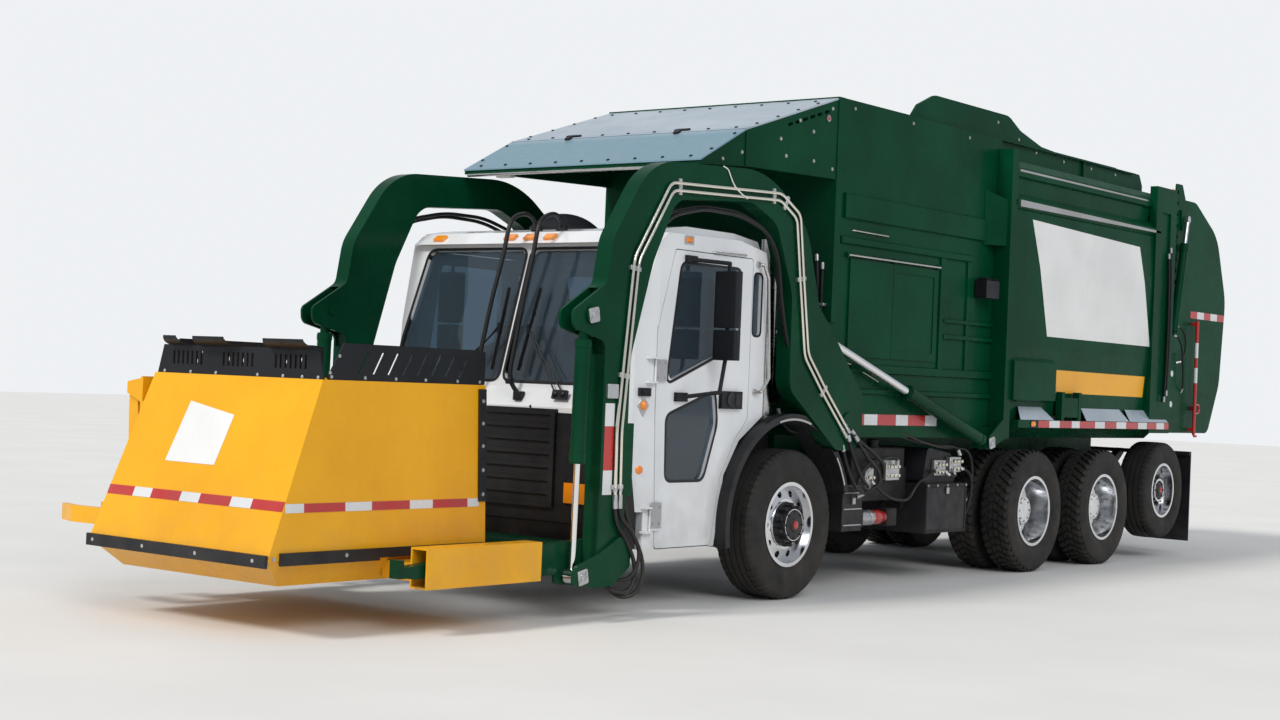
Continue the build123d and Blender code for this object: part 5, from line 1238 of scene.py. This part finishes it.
def tape_run(ends, x, low_z, high_z):
    """One run of tape at x: a list of its lengths, first red and then every other one."""
    return [box((x, x + TAPE_THICK), (a, b), (low_z, high_z)) for a, b in zip(ends[:-1], ends[1:])]


lengths = [tape_run(HOPPER_TAPE, 1.0708, 1.232, 1.314), tape_run(SHELF_TAPE, 1.2508, 1.238, 1.298)]
piece("body_tape_red", both([s for run in lengths for s in run[0::2]]), "chassis", tape_red)
piece("body_tape_white", both([s for run in lengths for s in run[1::2]]), "chassis", tape_white)
COVERS = ((3.340, 3.960, 0.10), (4.600, 5.500, 0.05), (5.520, 6.385, 0.05))
covers = [patch([(1.2470, start, 1.3010), (1.2470, stop, 1.3010), (1.1640, stop - lean, 1.4100),
                 (1.1640, start + lean, 1.4100)], (0.796, 0, 0.606), 0.003) for start, stop, lean in COVERS]
piece("shelf_covers", both(covers), "chassis", pale_sheet)
# painted highlights: two thin stainless strips on the green rails stand in for the highlights along their
# edges
highlight_strips = [prism([(3.235, 3.084), (6.100, 3.098), (6.100, 3.118), (3.235, 3.140)], (1.2270, 1.2300)),
          prism([(3.300, 3.386), (5.930, 3.386), (5.930, 3.400), (3.300, 3.404)], (1.1780, 1.1800))]
bright_rods = [tube([(1.097, 0.800, 2.493), (1.097, 2.170, 2.493)], 0.008, sides=14),
               tube([(1.068, 0.880, 2.680), (1.087, 0.892, 2.680), (1.087, 1.375, 2.676),
                     (1.068, 1.388, 2.676)], 0.006, 0.012, 10),
               tube([(1.068, 0.880, 1.690), (1.086, 0.895, 1.685), (1.086, 1.310, 1.562),
                     (1.068, 1.322, 1.560)], 0.005, 0.012, 10)]
rod_brackets = [box((1.069, 1.093), (y - 0.016, y + 0.016), (2.474, 2.512)) for y in (0.812, 1.485, 2.158)]
piece("body_painted_highlights", both(highlight_strips), "chassis", stainless)
piece("body_rods", both(bright_rods), "chassis", stainless)
softened(piece("body_rod_brackets", both(rod_brackets), "chassis", green), 0.003)

# %% [markdown]
# A work lamp hangs on the hopper's rear corner. It has a black housing with cooling fins, a
# clear face that looks back, and a bracket. Amber lamps mark the shelf's front end, and small
# red markers sit on the canopy's sides.

# %% Lamps on the body
housing = [box((1.082, 1.190), (2.770, 2.990), (2.290, 2.436)),
           box((1.090, 1.182), (2.990, 3.006), (2.300, 2.426)),
           box((1.074, 1.100), (2.975, 3.100), (2.448, 2.466)),
           box((1.074, 1.140), (2.860, 2.900), (2.436, 2.462))]
housing += [box((1.088, 1.186), (y, y + 0.006), (2.436, 2.452))
            for y in (2.790, 2.808, 2.826, 2.844, 2.915, 2.933, 2.951)]
softened(piece("work_lamp_housings", both(housing), "chassis", black_plastic), 0.006, 3)
piece("work_lamp_faces", both(lens_dome((1.136, 3.006, 2.363), (0, 1, 0), 0.040, 0.056, 0.008)), "chassis",
      glass)
shelf_lamps = [lens_dome((1.2515, 3.567, 1.267), OUT, 0.042, 0.022, 0.016, 3.0)]
piece("shelf_lamps", both(shelf_lamps), "chassis", amber)
shelf_bases = [lamp_frame((1.2500, 3.567, 1.267), OUT, 0.044, 0.024, 0.006)]
softened(piece("shelf_lamp_bases", both(shelf_bases), "chassis", black_plastic), 0.0015)
side_rounds = [studs([(1.0856, 0.470, 3.462)], OUT,
                     [(0.024, 0), (0.024, 0.006), (0.017, 0.006), (0.0, 0.006)], 28)]
piece("canopy_marker_rims", both(side_rounds), "chassis", zinc)
piece("canopy_markers", both(lens_dome((1.0905, 0.470, 3.462), OUT, 0.016, 0.016, 0.008, 2.0)), "chassis",
      red_lens)

# %% [markdown]
# Bolts hold the canopy's sheet, its side plates and the roof guard. One call sets a whole row of
# heads, square to the sheet. A steel tube runs under the canopy's front edge, and two black
# catches sit on its fold.

# %% Bolts and edges of the canopy and roof
LOW_SHEET, HIGH_SHEET = (0, -0.464, 0.886), (0, -0.305, 0.952)
SHEET_Y, SHEET_Z = [-1.05, -0.55, 0.55], [3.000, 3.262, 3.614]


def sheet_top(x, y):
    """Points on the canopy's top face: two planes that meet on the fold at y = -0.55."""
    x, y = one_shape(x, y)
    return np.stack([x, y, np.interp(y, SHEET_Y, SHEET_Z)], -1)


across = np.linspace(-0.96, 0.96, 9)
sheet_bolts = [heads(sheet_top(across, -0.500), HIGH_SHEET, 0.011, 0.008),
               heads(sheet_top(across, 0.480), HIGH_SHEET, 0.011, 0.008),
               heads(sheet_top(across, -1.010), LOW_SHEET, 0.011, 0.008)]
sheet_bolts += both([heads(sheet_top(1.050, np.linspace(-0.380, 0.380, 4)), HIGH_SHEET, 0.011, 0.008),
                     heads(sheet_top(1.050, np.linspace(-0.900, -0.640, 2)), LOW_SHEET, 0.011, 0.008)])
piece("canopy_bolts", sheet_bolts, "chassis", black_plastic)
catches = []
for x in (-0.504, 0.500):
    for half, start, stop, outward, thick in ((0.060, -0.530, -0.490, HIGH_SHEET, 0.014),
                                              (0.022, -0.590, -0.545, LOW_SHEET, 0.016)):
        spots = sheet_top(x + np.array([-half, half, half, -half]), [start, start, stop, stop])
        catches.append(patch(spots, outward, thick))
softened(piece("canopy_catches", catches, "chassis", black_plastic), 0.004)
fold = sheet_top([-1.080, 1.080, 1.080, -1.080], [-0.560, -0.560, -0.549, -0.549])
fold_line = patch(fold + [0, 0, 0.0008], LOW_SHEET, 0.003)
piece("canopy_fold_strip", fold_line, "chassis", pale_sheet)
front_tube = tube([(-1.050, -1.048, 2.952), (1.050, -1.048, 2.952)], 0.0125, sides=16)
piece("canopy_front_tube", front_tube, "chassis", stainless)
softened(piece("canopy_front_lip", box((-1.060, 1.060), (-1.050, -1.030), (2.958, 2.9885)), "chassis",
               green), 0.003)
piece("canopy_lamp", both(box((0.660, 0.790), (-1.030, -0.970), (2.930, 2.957))), "chassis",
      sign_white)
PLATE_BOLTS = [(0.277, 3.341), (-0.135, 3.240), (-0.062, 3.127), (0.293, 3.131), (0.520, 3.540),
               (0.540, 3.100), (-0.600, 3.090), (-0.820, 3.020), (0.100, 3.400)]
side_bolts = [heads([(1.0856, y, z) for y, z in PLATE_BOLTS], OUT, 0.012, 0.009)]
GUARD_BOLTS = [(3.185, 3.790), (3.566, 3.690), (3.895, 3.617), (4.431, 3.600), (4.991, 3.600),
               (5.507, 3.600)]
side_bolts += [heads([(1.0106, y, z) for y, z in GUARD_BOLTS], OUT, 0.012, 0.009)]
side_bolts += [heads([(1.0706, y, 3.585) for y in (0.849, 1.700, 2.600)], OUT, 0.012, 0.009)]
piece("plate_bolts", both(side_bolts), "chassis", zinc)

# %% [markdown]
# The tailgate's bulge carries a band of red and white tape. On each side a red and white prop
# bar stands ready to hold the raised gate.

# %% Tapes and prop bars of the tailgate
GATE_TAPE = [(7.160, 7.330, "red"), (7.330, 7.500, "white"), (7.500, 7.670, "red"), (7.670, 7.840, "white"),
             (7.840, 8.020, "red")]
REAR_TAPE = [(-1.090, -0.800, "red"), (-0.800, -0.510, "white"), (-0.510, -0.170, "red"),
             (-0.170, 0.170, "white"), (0.170, 0.510, "red"), (0.510, 0.800, "white"),
             (0.800, 1.090, "red")]
for colour, slot, coat_of in TAPES:
    strips = both([box((1.1108, 1.1120), (a, b), (2.345, 2.415))
                   for a, b, shade in GATE_TAPE if shade == colour])
    strips += [patch([(a, 8.0270, 2.340), (b, 8.0270, 2.340), (b, 8.0340, 2.415), (a, 8.0340, 2.415)],
                     (0, 0.996, -0.093), TAPE_THICK) for a, b, shade in REAR_TAPE if shade == colour]
    piece(f"gate_tape_{colour}", strips, "tailgate", coat_of)
PROP = [(1.175, 7.190, 2.318), (1.175, 7.190, 1.190)]
prop_red = [tube(PROP, 0.017, sides=18), box((1.111, 1.176), (7.174, 7.206), (2.270, 2.300)),
            box((1.111, 1.176), (7.174, 7.206), (1.222, 1.252)),
            tube([(1.175, 7.190, 1.190), (1.175, 7.212, 1.168), (1.175, 7.260, 1.172)], 0.012, 0.02, 12),
            tube([(1.175, 7.200, 1.395), (1.175, 7.300, 1.405), (1.175, 7.310, 1.480),
                  (1.175, 7.200, 1.490)], 0.010, 0.03, 12),
            box((1.111, 1.150), (7.230, 7.290), (1.425, 1.465))]
softened(piece("prop_bars", both(prop_red), "tailgate", tape_red), 0.002)
prop_white = [lathe([(z, 0.0182) for z in (low_z, low_z + 0.15)], (1.175, 7.190, 0), 18, 2)
              for low_z in (1.700, 1.950)]
piece("prop_bar_bands", both(prop_white), "tailgate", tape_white)

# %% [markdown]
# Hydraulic hoses run down the body's rear ring, and others hang in loops on the gate by its
# locks. Two round white reflectors and an amber lamp sit on each side of the gate.

# %% Hoses and lamps of the ring and tailgate
RING_HOSES = [
    [(1.236, 6.330, 2.980), (1.244, 6.345, 2.700), (1.246, 6.350, 2.300), (1.246, 6.345, 1.900),
     (1.242, 6.330, 1.560)],
    [(1.236, 6.290, 2.920), (1.246, 6.300, 2.600), (1.246, 6.305, 2.250), (1.246, 6.300, 1.850),
     (1.242, 6.280, 1.500)],
]
hose_set("ring_hoses", RING_HOSES, "chassis", 0.010, 0.10)
GATE_HOSES = [
    [(1.121, 6.760, 2.250), (1.160, 6.860, 2.230), (1.175, 6.930, 2.120), (1.170, 6.910, 1.960),
     (1.150, 6.850, 1.900), (1.121, 6.820, 1.890)],
    [(1.121, 6.720, 2.160), (1.150, 6.800, 2.140), (1.165, 6.860, 2.040), (1.165, 6.900, 1.820),
     (1.160, 6.930, 1.660), (1.121, 6.960, 1.600)],
]
hose_set("gate_hoses", GATE_HOSES, "tailgate", 0.009, 0.09)
ROUND = [(0.030, 0), (0.030, 0.008), (0.022, 0.012), (0.0, 0.013)]
gate_rounds = [studs([(1.1210, 6.720, z)], OUT, ROUND, 28) for z in (1.780, 1.480)]
piece("gate_rounds", both(gate_rounds), "tailgate", tape_white)
ring_lamps = [lens_dome((1.1210, 6.600, 3.560), OUT, 0.030, 0.018, 0.012, 3.0)]
piece("ring_lamps", both(ring_lamps), "tailgate", amber)

# %% [markdown]
# The back of the truck is not in the photo. It gets what every truck must carry: red lamps low
# on each side, white reversing lamps, three small red lamps up high, and a blank plate.

# %% Rear lamps and blank plate
REAR_OUT, HIGH_OUT = (0, 0.889, -0.458), (0, 0.93, 0.36)
GATE_Z, GATE_Y = [1.22, 1.60], [7.7105, 7.9080]
RED_LAMPS_X, REVERSING_X, LAMPS_Z = (0.930, 0.800), 0.670, 1.330
LAMP_RIM = [(0.058, -0.002), (0.058, 0.008), (0.050, 0.010), (0.050, 0.0)]


def on_gate(x, z):
    """Points on the gate's lower rear face, which leans in towards its foot."""
    x, z = one_shape(x, z)
    return np.stack([x, np.interp(z, GATE_Z, GATE_Y), z], -1)


def high_lamp(x):
    """A small lamp at the gate's top edge."""
    return lens_dome((x, 7.852, 3.030), HIGH_OUT, 0.045, 0.020, 0.014, 3.0)


red_lamps = [lens_dome(on_gate(x, LAMPS_Z), REAR_OUT, 0.050, 0.050, 0.018, 2.0) for x in RED_LAMPS_X]
piece("rear_red_lamps", both(red_lamps + [high_lamp(0.900)]), "tailgate", red_lens)
piece("rear_high_lamps", [high_lamp(x) for x in (-0.150, 0.0, 0.150)], "tailgate", red_lens)
reversing = lens_dome(on_gate(REVERSING_X, LAMPS_Z), REAR_OUT, 0.050, 0.050, 0.016, 2.0)
piece("reversing_lamps", both(reversing), "tailgate", sign_white)
lamp_rims = [studs([on_gate(x, LAMPS_Z)], REAR_OUT, LAMP_RIM, 32) for x in (*RED_LAMPS_X, REVERSING_X)]
piece("rear_lamp_rims", both(lamp_rims), "tailgate", hose_rubber)
plate_back = patch(on_gate([-0.165, 0.165, 0.165, -0.165], [1.262, 1.262, 1.432, 1.432]), REAR_OUT, 0.004)
softened(piece("blank_plate", plate_back, "tailgate", sign_white), 0.001)
plate_bolts = heads(on_gate([-0.115, 0.115], 1.410) + 0.0045 * np.array(REAR_OUT), REAR_OUT, 0.007, 0.004)
piece("plate_bolts_rear", plate_bolts, "tailgate", zinc)

# %% [markdown]
# Below the hopper stand a step box, a driven pump with its red and silver coupling, and a tank
# with valve blocks above it. The two boxes are in the CAD model. The pump and the small
# fittings are made here.

# %% Pump, valves and box fittings
coupling = [(1.245, 0.0), (1.245, 0.046), (1.285, 0.050), (1.300, 0.058), (1.345, 0.058), (1.352, 0.050),
            (1.375, 0.050), (1.382, 0.059), (1.420, 0.059), (1.428, 0.048), (1.440, 0.0)]
red_half = [(1.438, 0.0), (1.438, 0.050), (1.448, 0.056), (1.545, 0.056), (1.556, 0.048), (1.600, 0.046),
            (1.606, 0.0)]
for name, profile, coat_of, slot in (("pump_coupling", coupling, zinc, "alloy"),
                                     ("pump_drum", red_half, tape_red, "lamp")):
    piece(name, both(lathe(profile, (0.985, 0.0, 0.520), 32, 1)), "chassis", coat_of)
pump = [box((0.900, 1.040), (1.112, 1.250), (0.455, 0.600)),
        box((0.930, 1.030), (1.604, 1.760), (0.450, 0.590)),
        box((0.700, 0.960), (1.180, 1.960), (0.640, 1.060)),
        box((0.760, 0.930), (1.990, 2.050), (0.560, 0.900))]
softened(piece("pump_housings", both(pump), "chassis", chassis_black), 0.014, 3)
valve_blocks = [box((1.0405, 1.075), (2.240, 2.420), (0.835, 0.960)),
                box((1.0405, 1.085), (2.470, 2.650), (0.860, 0.985)),
                box((0.9605, 1.010), (1.300, 1.420), (0.760, 0.900)),
                box((0.9605, 1.000), (1.620, 1.820), (0.800, 0.960))]
softened(piece("valve_blocks", both(valve_blocks), "chassis", zinc), 0.006, 3)
LARGE_SPOOL = [(0.020, 0), (0.020, 0.010), (0.015, 0.013), (0.015, 0.030), (0.010, 0.034), (0.0, 0.034)]
SMALL_SPOOL = [(0.018, 0), (0.018, 0.010), (0.013, 0.013), (0.013, 0.026), (0.0, 0.028)]
large_places = [(1.075, y, z) for y in (2.275, 2.330, 2.385) for z in (0.865, 0.925)]
large_places += [(1.085, y, z) for y in (2.500, 2.560, 2.620) for z in (0.890, 0.950)]
small_places = [(1.010, y, 0.830) for y in (1.330, 1.390)]
small_places += [(1.000, y, z) for y in (1.660, 1.720, 1.780) for z in (0.840, 0.910)]
spools = joined([studs(large_places, OUT, LARGE_SPOOL, 16), studs(small_places, OUT, SMALL_SPOOL, 16)])
piece("valve_spools", both(spools), "chassis", polished_pipe)
LID_Y = [2.085, 2.230, 2.390, 2.550, 2.695]
tank_trim = [box((1.1055, 1.1120), (2.066, 2.714), (0.745, 0.773)),
             box((1.1055, 1.1120), (2.066, 2.714), (0.382, 0.402)),
             box((1.1055, 1.1105), (2.066, 2.086), (0.402, 0.745)),
             box((1.1055, 1.1105), (2.694, 2.714), (0.402, 0.745))]
softened(piece("tank_box_straps", both(tank_trim), "chassis", chassis_black), 0.002)
piece("tank_box_bolts", both(heads([(1.1122, y, 0.759) for y in LID_Y], OUT, 0.009, 0.007)), "chassis",
      zinc)
ribs = [box((0.885, 1.095), (y, y + 0.012), (0.7702, 0.7770)) for y in np.linspace(0.850, 1.085, 9)]
ribs += [box((1.1055, 1.1130), (0.850, 1.095), (z, z + 0.010)) for z in (0.480, 0.600, 0.720)]
softened(piece("step_treads", both(ribs), "chassis", zinc), 0.002)
latches = [box((1.1055, 1.1230), (0.955, 0.995), (0.640, 0.690)),
           box((1.1125, 1.1220), (2.370, 2.410), (0.690, 0.742))]
softened(piece("box_latches", both(latches), "chassis", zinc), 0.004)
FILLER = [(0.055, 0), (0.055, 0.006), (0.042, 0.008), (0.042, 0.030), (0.048, 0.032), (0.048, 0.052),
          (0.040, 0.058), (0.0, 0.060)]
filler = studs([(0.900, 1.560, 1.060)], (0, 0, 1), FILLER, 28)
piece("tank_fillers", both(filler), "chassis", black_plastic)

# %% [markdown]
# Hoses run from the arm pivots and the pump to the valves. Each hangs a little between its
# ends, as a heavy rubber hose does.

# %% Hoses below the hopper
LOW_HOSES = [
    [(1.040, 1.560, 1.230), (1.060, 1.700, 1.190), (1.065, 1.943, 1.120), (1.060, 2.329, 1.062),
     (1.060, 2.780, 1.050), (1.070, 2.860, 0.940), (1.070, 2.870, 0.740), (1.040, 2.790, 0.600)],
    [(1.020, 1.540, 1.200), (1.030, 1.720, 1.150), (1.045, 2.054, 1.095), (1.050, 2.300, 1.075),
     (1.085, 2.560, 1.070), (1.100, 2.600, 1.000)],
    [(1.010, 1.300, 0.870), (1.060, 1.330, 0.930), (1.060, 1.520, 0.990), (1.050, 1.700, 0.980),
     (1.030, 1.720, 0.925)],
    [(1.010, 1.390, 0.800), (1.050, 1.420, 0.740), (1.055, 1.620, 0.660), (1.045, 1.900, 0.640),
     (1.060, 2.000, 0.780), (1.085, 2.275, 0.890)],
    [(0.985, 1.180, 0.600), (1.020, 1.160, 0.740), (1.010, 1.240, 0.880), (0.990, 1.420, 0.960),
     (0.975, 1.640, 0.950)],
    [(1.085, 2.620, 0.900), (1.110, 2.760, 0.860), (1.105, 2.810, 0.720), (1.060, 2.790, 0.480),
     (0.980, 2.760, 0.420)],
    [(1.085, 2.385, 0.865), (1.125, 2.420, 0.830), (1.125, 2.480, 0.830), (1.100, 2.500, 0.880)],
]
hose_set("low_hoses", LOW_HOSES, "chassis", 0.0125, 0.10)

# %% [markdown]
# Behind the cab stands the air cleaner, a ribbed black canister with two steel bands, and a
# row of lines climbs the hopper's front wall. A small red reflector sits beside them.

# %% Air cleaner and lines behind the cab
CLEANER_AT = (0.690, 0.330, 0.0)
ridge = np.linspace(1.380, 2.060, 69)
cleaner = [(1.340, 0.0), (1.340, 0.060), (1.375, 0.128)]
cleaner += [(z, 0.134 + 0.003 * math.cos(180 * z)) for z in ridge]
cleaner += [(2.065, 0.128), (2.100, 0.070), (2.160, 0.062), (2.170, 0.0)]
piece("air_cleaners", both(lathe(cleaner, CLEANER_AT, 40, 2)), "chassis", black_plastic)
bands = [lathe([(z, 0.1385), (z + 0.001, 0.1400), (z + 0.024, 0.1400), (z + 0.025, 0.1385)], CLEANER_AT,
               40, 2)
         for z in (1.520, 1.880)]
piece("air_cleaner_bands", both(bands), "chassis", stainless)
CAB_REAR_LINES = [
    [(0.985, 0.560, 1.180), (0.990, 0.545, 1.500), (0.985, 0.560, 1.900), (0.990, 0.560, 2.300),
     (0.960, 0.580, 2.480)],
    [(1.020, 0.565, 1.180), (1.030, 0.540, 1.450), (1.020, 0.560, 1.800), (1.025, 0.565, 2.200),
     (1.010, 0.585, 2.420)],
    [(0.930, 0.560, 1.180), (0.925, 0.530, 1.600), (0.935, 0.555, 2.050), (0.900, 0.585, 2.300)],
    [(1.000, 0.500, 1.300), (1.010, 0.440, 1.200), (1.020, 0.300, 1.160), (0.980, 0.180, 1.220),
     (0.960, 0.160, 1.340)],
]
hose_set("cab_rear_lines", CAB_REAR_LINES, "chassis", 0.012, 0.14, "cab_rear_collars")
line_clamps = [box((0.905, 1.050), (0.552, 0.598), (z, z + 0.022)) for z in (1.420, 1.760, 2.100)]
softened(piece("line_clamps", both(line_clamps), "chassis", zinc), 0.003)
reflectors = both(box((1.030, 1.062), (0.560, 0.5985), (1.900, 1.965)))
softened(piece("hopper_red_reflectors", reflectors, "chassis", red_lens), 0.004)

# %% [markdown]
# The black mudguard carries a polished strip along its edge. It is a flat band between two
# circles about the wheel's centre, and it breaks where the arm swings past.

# %% Polished strip on the front mudguard


def arc_band(inner, outer, x, start, end, thick=0.003, steps=40):
    """A band between two radii about the front wheel: (y, z) = r (sin a, cos a) + the centre."""
    angle = np.radians(np.linspace(start, end, steps))
    ring = np.stack([np.sin(angle), np.cos(angle)], 1)
    rows = [np.column_stack([np.full(steps, level), r * ring + [0, FRONT_TYRE[0]]])
            for r, level in ((inner, x), (outer, x), (outer, x + thick), (inner, x + thick))]
    return solid(np.stack(rows, 1))


strips = [arc_band(0.7335, 0.7480, 1.2065, -14, 17), arc_band(0.7335, 0.7480, 1.2065, 51, 69),
          arc_band(0.7280, 0.7420, 1.0880, 17, 51)]
piece("mudguard_strips", both(strips), "chassis", stainless)

# %% [markdown]
# The cab's corners and front are black below the windscreen. A thin moulded cover follows the
# corner in plan, and its rear edge leans: it is a sheet of points (x, y) read along the plan
# line, cut short at a y that depends on the height.

# %% Black lower cover of the cab
PLAN = np.array([(0.605, -1.850), (0.905, -1.850), (0.944, -1.800), (1.006, -1.720), (1.042, -1.673),
                 (1.064, -1.640), (1.109, -1.520)])


def corner_cover(low_z, high_z, low_y, high_y, off=0.0018, thick=0.004, rows=10, columns=30):
    """A cover along the plan line from the grille to a leaning rear edge, thick on its outside."""
    step = np.concatenate([[0], np.cumsum(np.linalg.norm(np.diff(PLAN, axis=0), axis=1))])
    z = np.linspace(low_z, high_z, rows)
    stop = np.interp(np.interp(z, [low_z, high_z], [low_y, high_y]), PLAN[1:, 1], step[1:])
    along = np.linspace(0, 1, columns)[None, :] * stop[:, None]
    x, y = np.interp(along, step, PLAN[:, 0]), np.interp(along, step, PLAN[:, 1])
    heading = np.stack([np.gradient(x, axis=1), np.gradient(y, axis=1)], -1)
    outward = unit(heading[..., ::-1] * [1, -1])
    base = np.stack([x, y, np.repeat(z[:, None], columns, 1)], -1)
    outward = np.concatenate([outward, np.zeros((rows, columns, 1))], -1)
    return closed_sheet(np.concatenate([base + outward * (off + thick), (base + outward * off)[::-1]]))


piece("cab_lower_covers", both(corner_cover(0.560, 1.267, -1.600, -1.688)), "chassis",
      black_plastic)
cover_trim = [box((-0.605, 0.605), (-1.8560, -1.8505), (0.560, 0.650))]
softened(piece("cab_lower_panel", cover_trim, "chassis", black_plastic), 0.002)

# %% [markdown]
# Silver leaves cover the door hinges. A black catch holds the corner panel, a polished bar
# hangs over the door, and the door handle has a cupped paddle.

# %% Hinges and catches of the cab
LEAF_X, LEAF_Y = (1.1372, 1.1388), (-1.5150, -1.4050)
PADDLE = [(1.1460, 0.0), (1.1460, 0.050), (1.1530, 0.054), (1.1560, 0.048), (1.1510, 0.030), (1.1490, 0.0)]
for side, turn_over in SIDES:
    leaves = [box(LEAF_X, LEAF_Y, span) for span in ((1.498, 1.640), (0.545, 0.712))]
    leaves += [heads([(LEAF_X[1], y, z) for y in (-1.4280, -1.4950) for z in spots], OUT, 0.007, 0.005)
               for spots in ((1.520, 1.618), (0.575, 0.682))]
    piece(f"hinge_leaves_{side}", [turn_over(s) for s in leaves], f"door_{side[0]}", zinc)
    paddle = [turn_over(lathe(PADDLE, (0.0, -0.690, 1.392), 32)),
              turn_over(box((1.1460, 1.1600), (-0.650, -0.590), (1.352, 1.436)))]
    softened(piece(f"door_paddles_{side}", paddle, f"door_{side[0]}", gloss_black), 0.003)
bars = [tube([(1.121, -0.930, 2.374), (1.136, -0.915, 2.376), (1.136, -0.560, 2.384),
              (1.121, -0.545, 2.384)], 0.006, 0.012, 10)]
piece("door_top_bars", both(bars), "chassis", stainless)
CATCH_OUT = (0.932, -0.362, 0)
catch = []
for (x, y), (x_end, y_end), (low_z, high_z), thick, lift in (
        ((1.1045, -1.535), (1.0715, -1.620), (1.398, 1.452), 0.022, -0.002),
        ((1.1000, -1.548), (1.0800, -1.600), (1.412, 1.438), 0.034, 0.0)):
    corners = [(x, y, low_z), (x, y, high_z), (x_end, y_end, high_z), (x_end, y_end, low_z)]
    catch.append(patch(corners, CATCH_OUT, thick, lift))
softened(piece("corner_catches", both(catch), "chassis", black_plastic), 0.004, 3)

# %% [markdown]
# Each seat has a crowned cushion and a leaning backrest under black cloth. Foam in a sewn
# cover swells in the middle and is held down at its edges.

# %% Seat cushions


def cushion(centre, half, lean=0.0, swell=0.016, round_by=0.026, cover=0.012, rows=28, columns=64):
    """A box with edges rounded by r, p = q + r unit(d - q) with q inside the box, whose top
    swells by swell (1 - u^2)(1 - v^2), then turned about x by a lean in degrees."""
    low, turn = np.meshgrid(np.linspace(math.pi - 0.02, 0.02, rows),
                            np.arange(columns) * 2 * math.pi / columns, indexing="ij")
    aim = np.stack([np.sin(low) * np.cos(turn), np.sin(low) * np.sin(turn), np.cos(low)], -1)
    size = np.array(half) + cover
    on_box = aim / (np.abs(aim) / size).max(-1, keepdims=True)
    core = np.clip(on_box, round_by - size, size - round_by)
    points = core + round_by * unit(on_box - core)
    u, v = (core[..., 0] / (size[0] - round_by)), (core[..., 1] / (size[1] - round_by))
    points[..., 2] += swell * (1 - u ** 2) * (1 - v ** 2) * (aim[..., 2] > 0)
    angle = math.radians(lean)
    about_x = np.array([(1, 0, 0), (0, math.cos(angle), math.sin(angle)),
                        (0, -math.sin(angle), math.cos(angle))])
    return solid(points @ about_x + centre)


SEATS = [("seat_pads", (0.760, -0.925, 1.072), (0.240, 0.225, 0.060), 0.0),
         ("seat_backs", (0.760, -0.671, 1.500), (0.235, 0.352, 0.060), 84.0)]
for name, centre, half, lean in SEATS:
    for side, turn_over in SIDES:
        pad = turn_over(cushion(np.array(centre), half, lean))
        piece(f"{name}_{side}", pad, "chassis", seat_cloth)
